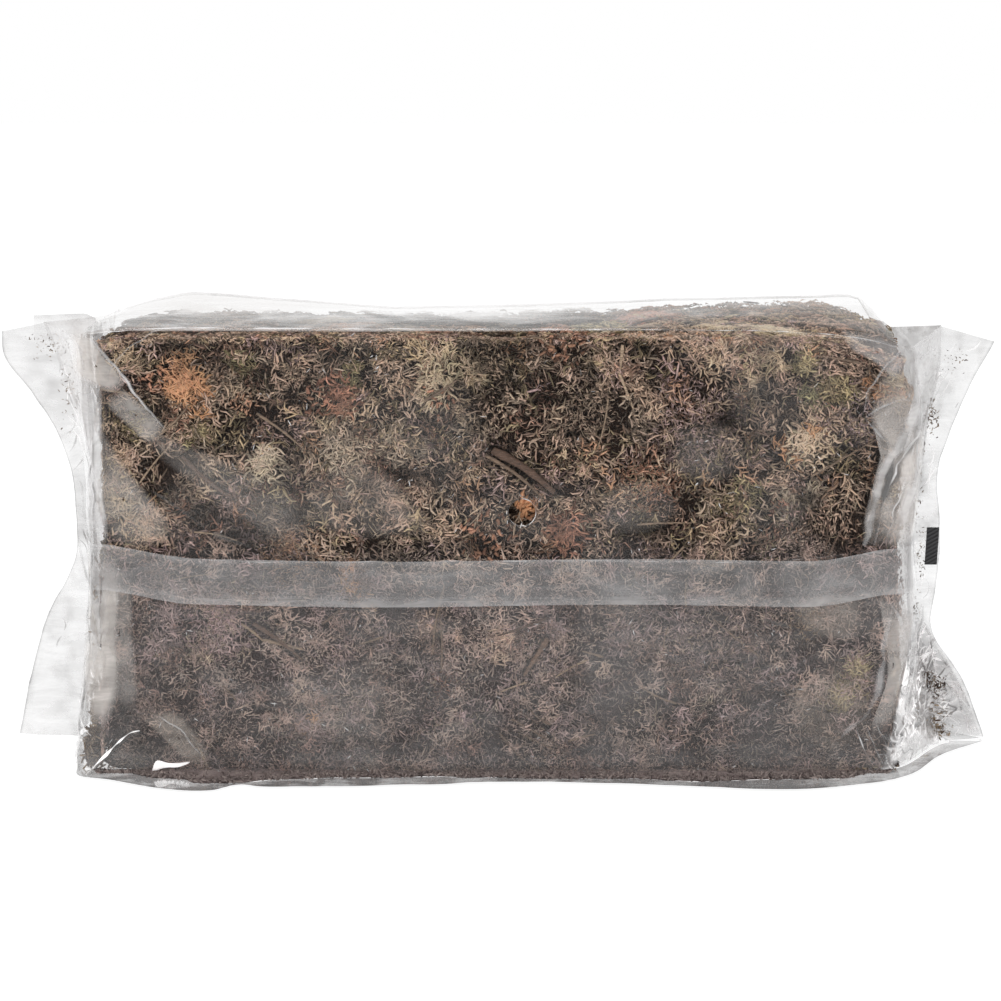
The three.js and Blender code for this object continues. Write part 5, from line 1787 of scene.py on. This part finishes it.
def build_mark():
    """The black register mark printed on the right fin, crossed by the ribs of the crimp."""
    finish = Finish("printed_mark", Roughness=0.45)
    inputs = {"Vector": finish.stretched((1, 1, 1), (0, 0.5, 0)), "Scale": 210.0}
    ribs = finish.node("ShaderNodeTexWave", {"bands_direction": "Z"}, inputs).out("Fac")
    finish.set("Base Color", finish.ramp(ribs, linear(12, 12, 13), linear(52, 52, 54)))
    finish.set("Normal", finish.relief(ribs, 0.6, 0.0006))
    bpy.ops.mesh.primitive_grid_add(x_subdivisions=6, y_subdivisions=18, size=1)
    piece = bpy.context.object
    bpy.ops.transform.resize(value=(MARK_SIZE[0] * MM, MARK_SIZE[1] * MM, 1))
    piece = made_by_hand("register_mark")
    points = vertices_of(piece.data) / MM
    z = MARK_AT[1] + points[:, 1]
    x = MARK_AT[0] + points[:, 0] + 0.05 * points[:, 1]
    y = RIPPLE * np.sin(z / 21 + 1) - 2.6
    move_vertices(piece.data, spots(x, y, z))
    solid = piece.modifiers.new("wall", "SOLIDIFY")
    solid.thickness = 0.00015
    piece.select_set(True)
    bpy.context.view_layer.objects.active = piece
    bpy.ops.object.modifier_apply(modifier="wall")
    piece.select_set(False)
    dressed(piece, "film", finish.material)


# --- stage ---


def build_stage():
    bpy.ops.mesh.primitive_plane_add(size=8, location=(0, 1.5, -0.0002))
    floor = made_by_hand("floor_paper")
    paper = Finish("floor_paper", Roughness=0.9)
    paper.set("Base Color", (0.28, 0.28, 0.28, 1))
    paper.set("Emission Color", (1, 1, 1, 1))
    paper.shader.inputs["Emission Strength"].default_value = 0.86
    floor.data.materials.append(paper.material)

    world = bpy.data.worlds.new("studio")  # white as seen and as mirrored, and dimmer as a lamp
    world.use_nodes = True
    nodes, join = world.node_tree.nodes, world.node_tree.links.new
    sky = nodes["Background"]
    ray = nodes.new("ShaderNodeLightPath").outputs
    level = nodes.new("ShaderNodeMapRange")
    level.inputs["To Min"].default_value = 0.42
    level.inputs["To Max"].default_value = 1.0
    either = nodes.new("ShaderNodeMath")
    join(ray["Is Camera Ray"], either.inputs[0])
    join(ray["Is Glossy Ray"], either.inputs[1])
    join(either.outputs[0], level.inputs["Value"])
    join(level.outputs[0], sky.inputs["Strength"])
    sky.inputs["Color"].default_value = (1, 1, 1, 1)
    bpy.context.scene.world = world

    def softbox(name, place, size, power):
        light = bpy.data.lights.new(name, "AREA")
        light.shape = "RECTANGLE"
        light.size, light.size_y = size
        light.energy = power
        lamp = bpy.data.objects.new(name, light)
        lamp.location = place
        lamp.rotation_euler = (Vector((0, 0, 0.1)) - Vector(place)).to_track_quat("-Z", "Y").to_euler()
        bpy.context.scene.collection.objects.link(lamp)

    softbox("key_softbox", (-0.9, -1.3, 1.5), (0.9, 0.9), 9)
    softbox("fill_softbox", (1.3, -1.0, 0.9), (0.5, 0.9), 3)
    softbox("top_softbox", (0.1, 0.5, 1.6), (1.2, 0.6), 6)

    camera = bpy.data.cameras.new("camera")
    camera.lens = 115.74
    camera.sensor_width = 36
    seat = bpy.data.objects.new("camera", camera)
    seat.location = (-0.0007, -1.3867, 0.3398)
    seat.rotation_euler = (math.radians(90 - 9.49), 0, 0)
    bpy.context.scene.collection.objects.link(seat)
    bpy.context.scene.camera = seat
    bpy.context.scene.view_settings.view_transform = "Standard"


# --- the whole ---

moss = build_core()
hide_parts("moss_bale")
build_moss()
build_heads()
build_twigs()
clear_film = film_finish("clear_film", 0.008, 0.92)
shares, grids = build_films(clear_film)
build_band(shares, grids, clear_film)
build_fins(clear_film)
build_crease(clear_film)
build_slipped(moss_finish("moss_slipped"))
white_film = film_finish("creased_film", 0.0, 0.95)
front = creased("front", shares, grids["front"]).reshape(-1, 3)
build_creases(front, white_film)
build_crushed(front, white_film)
build_flap(clear_film)
build_crumbs()
build_vent(white_film)
build_mark()
build_stage()

bpy.context.view_layer.update()
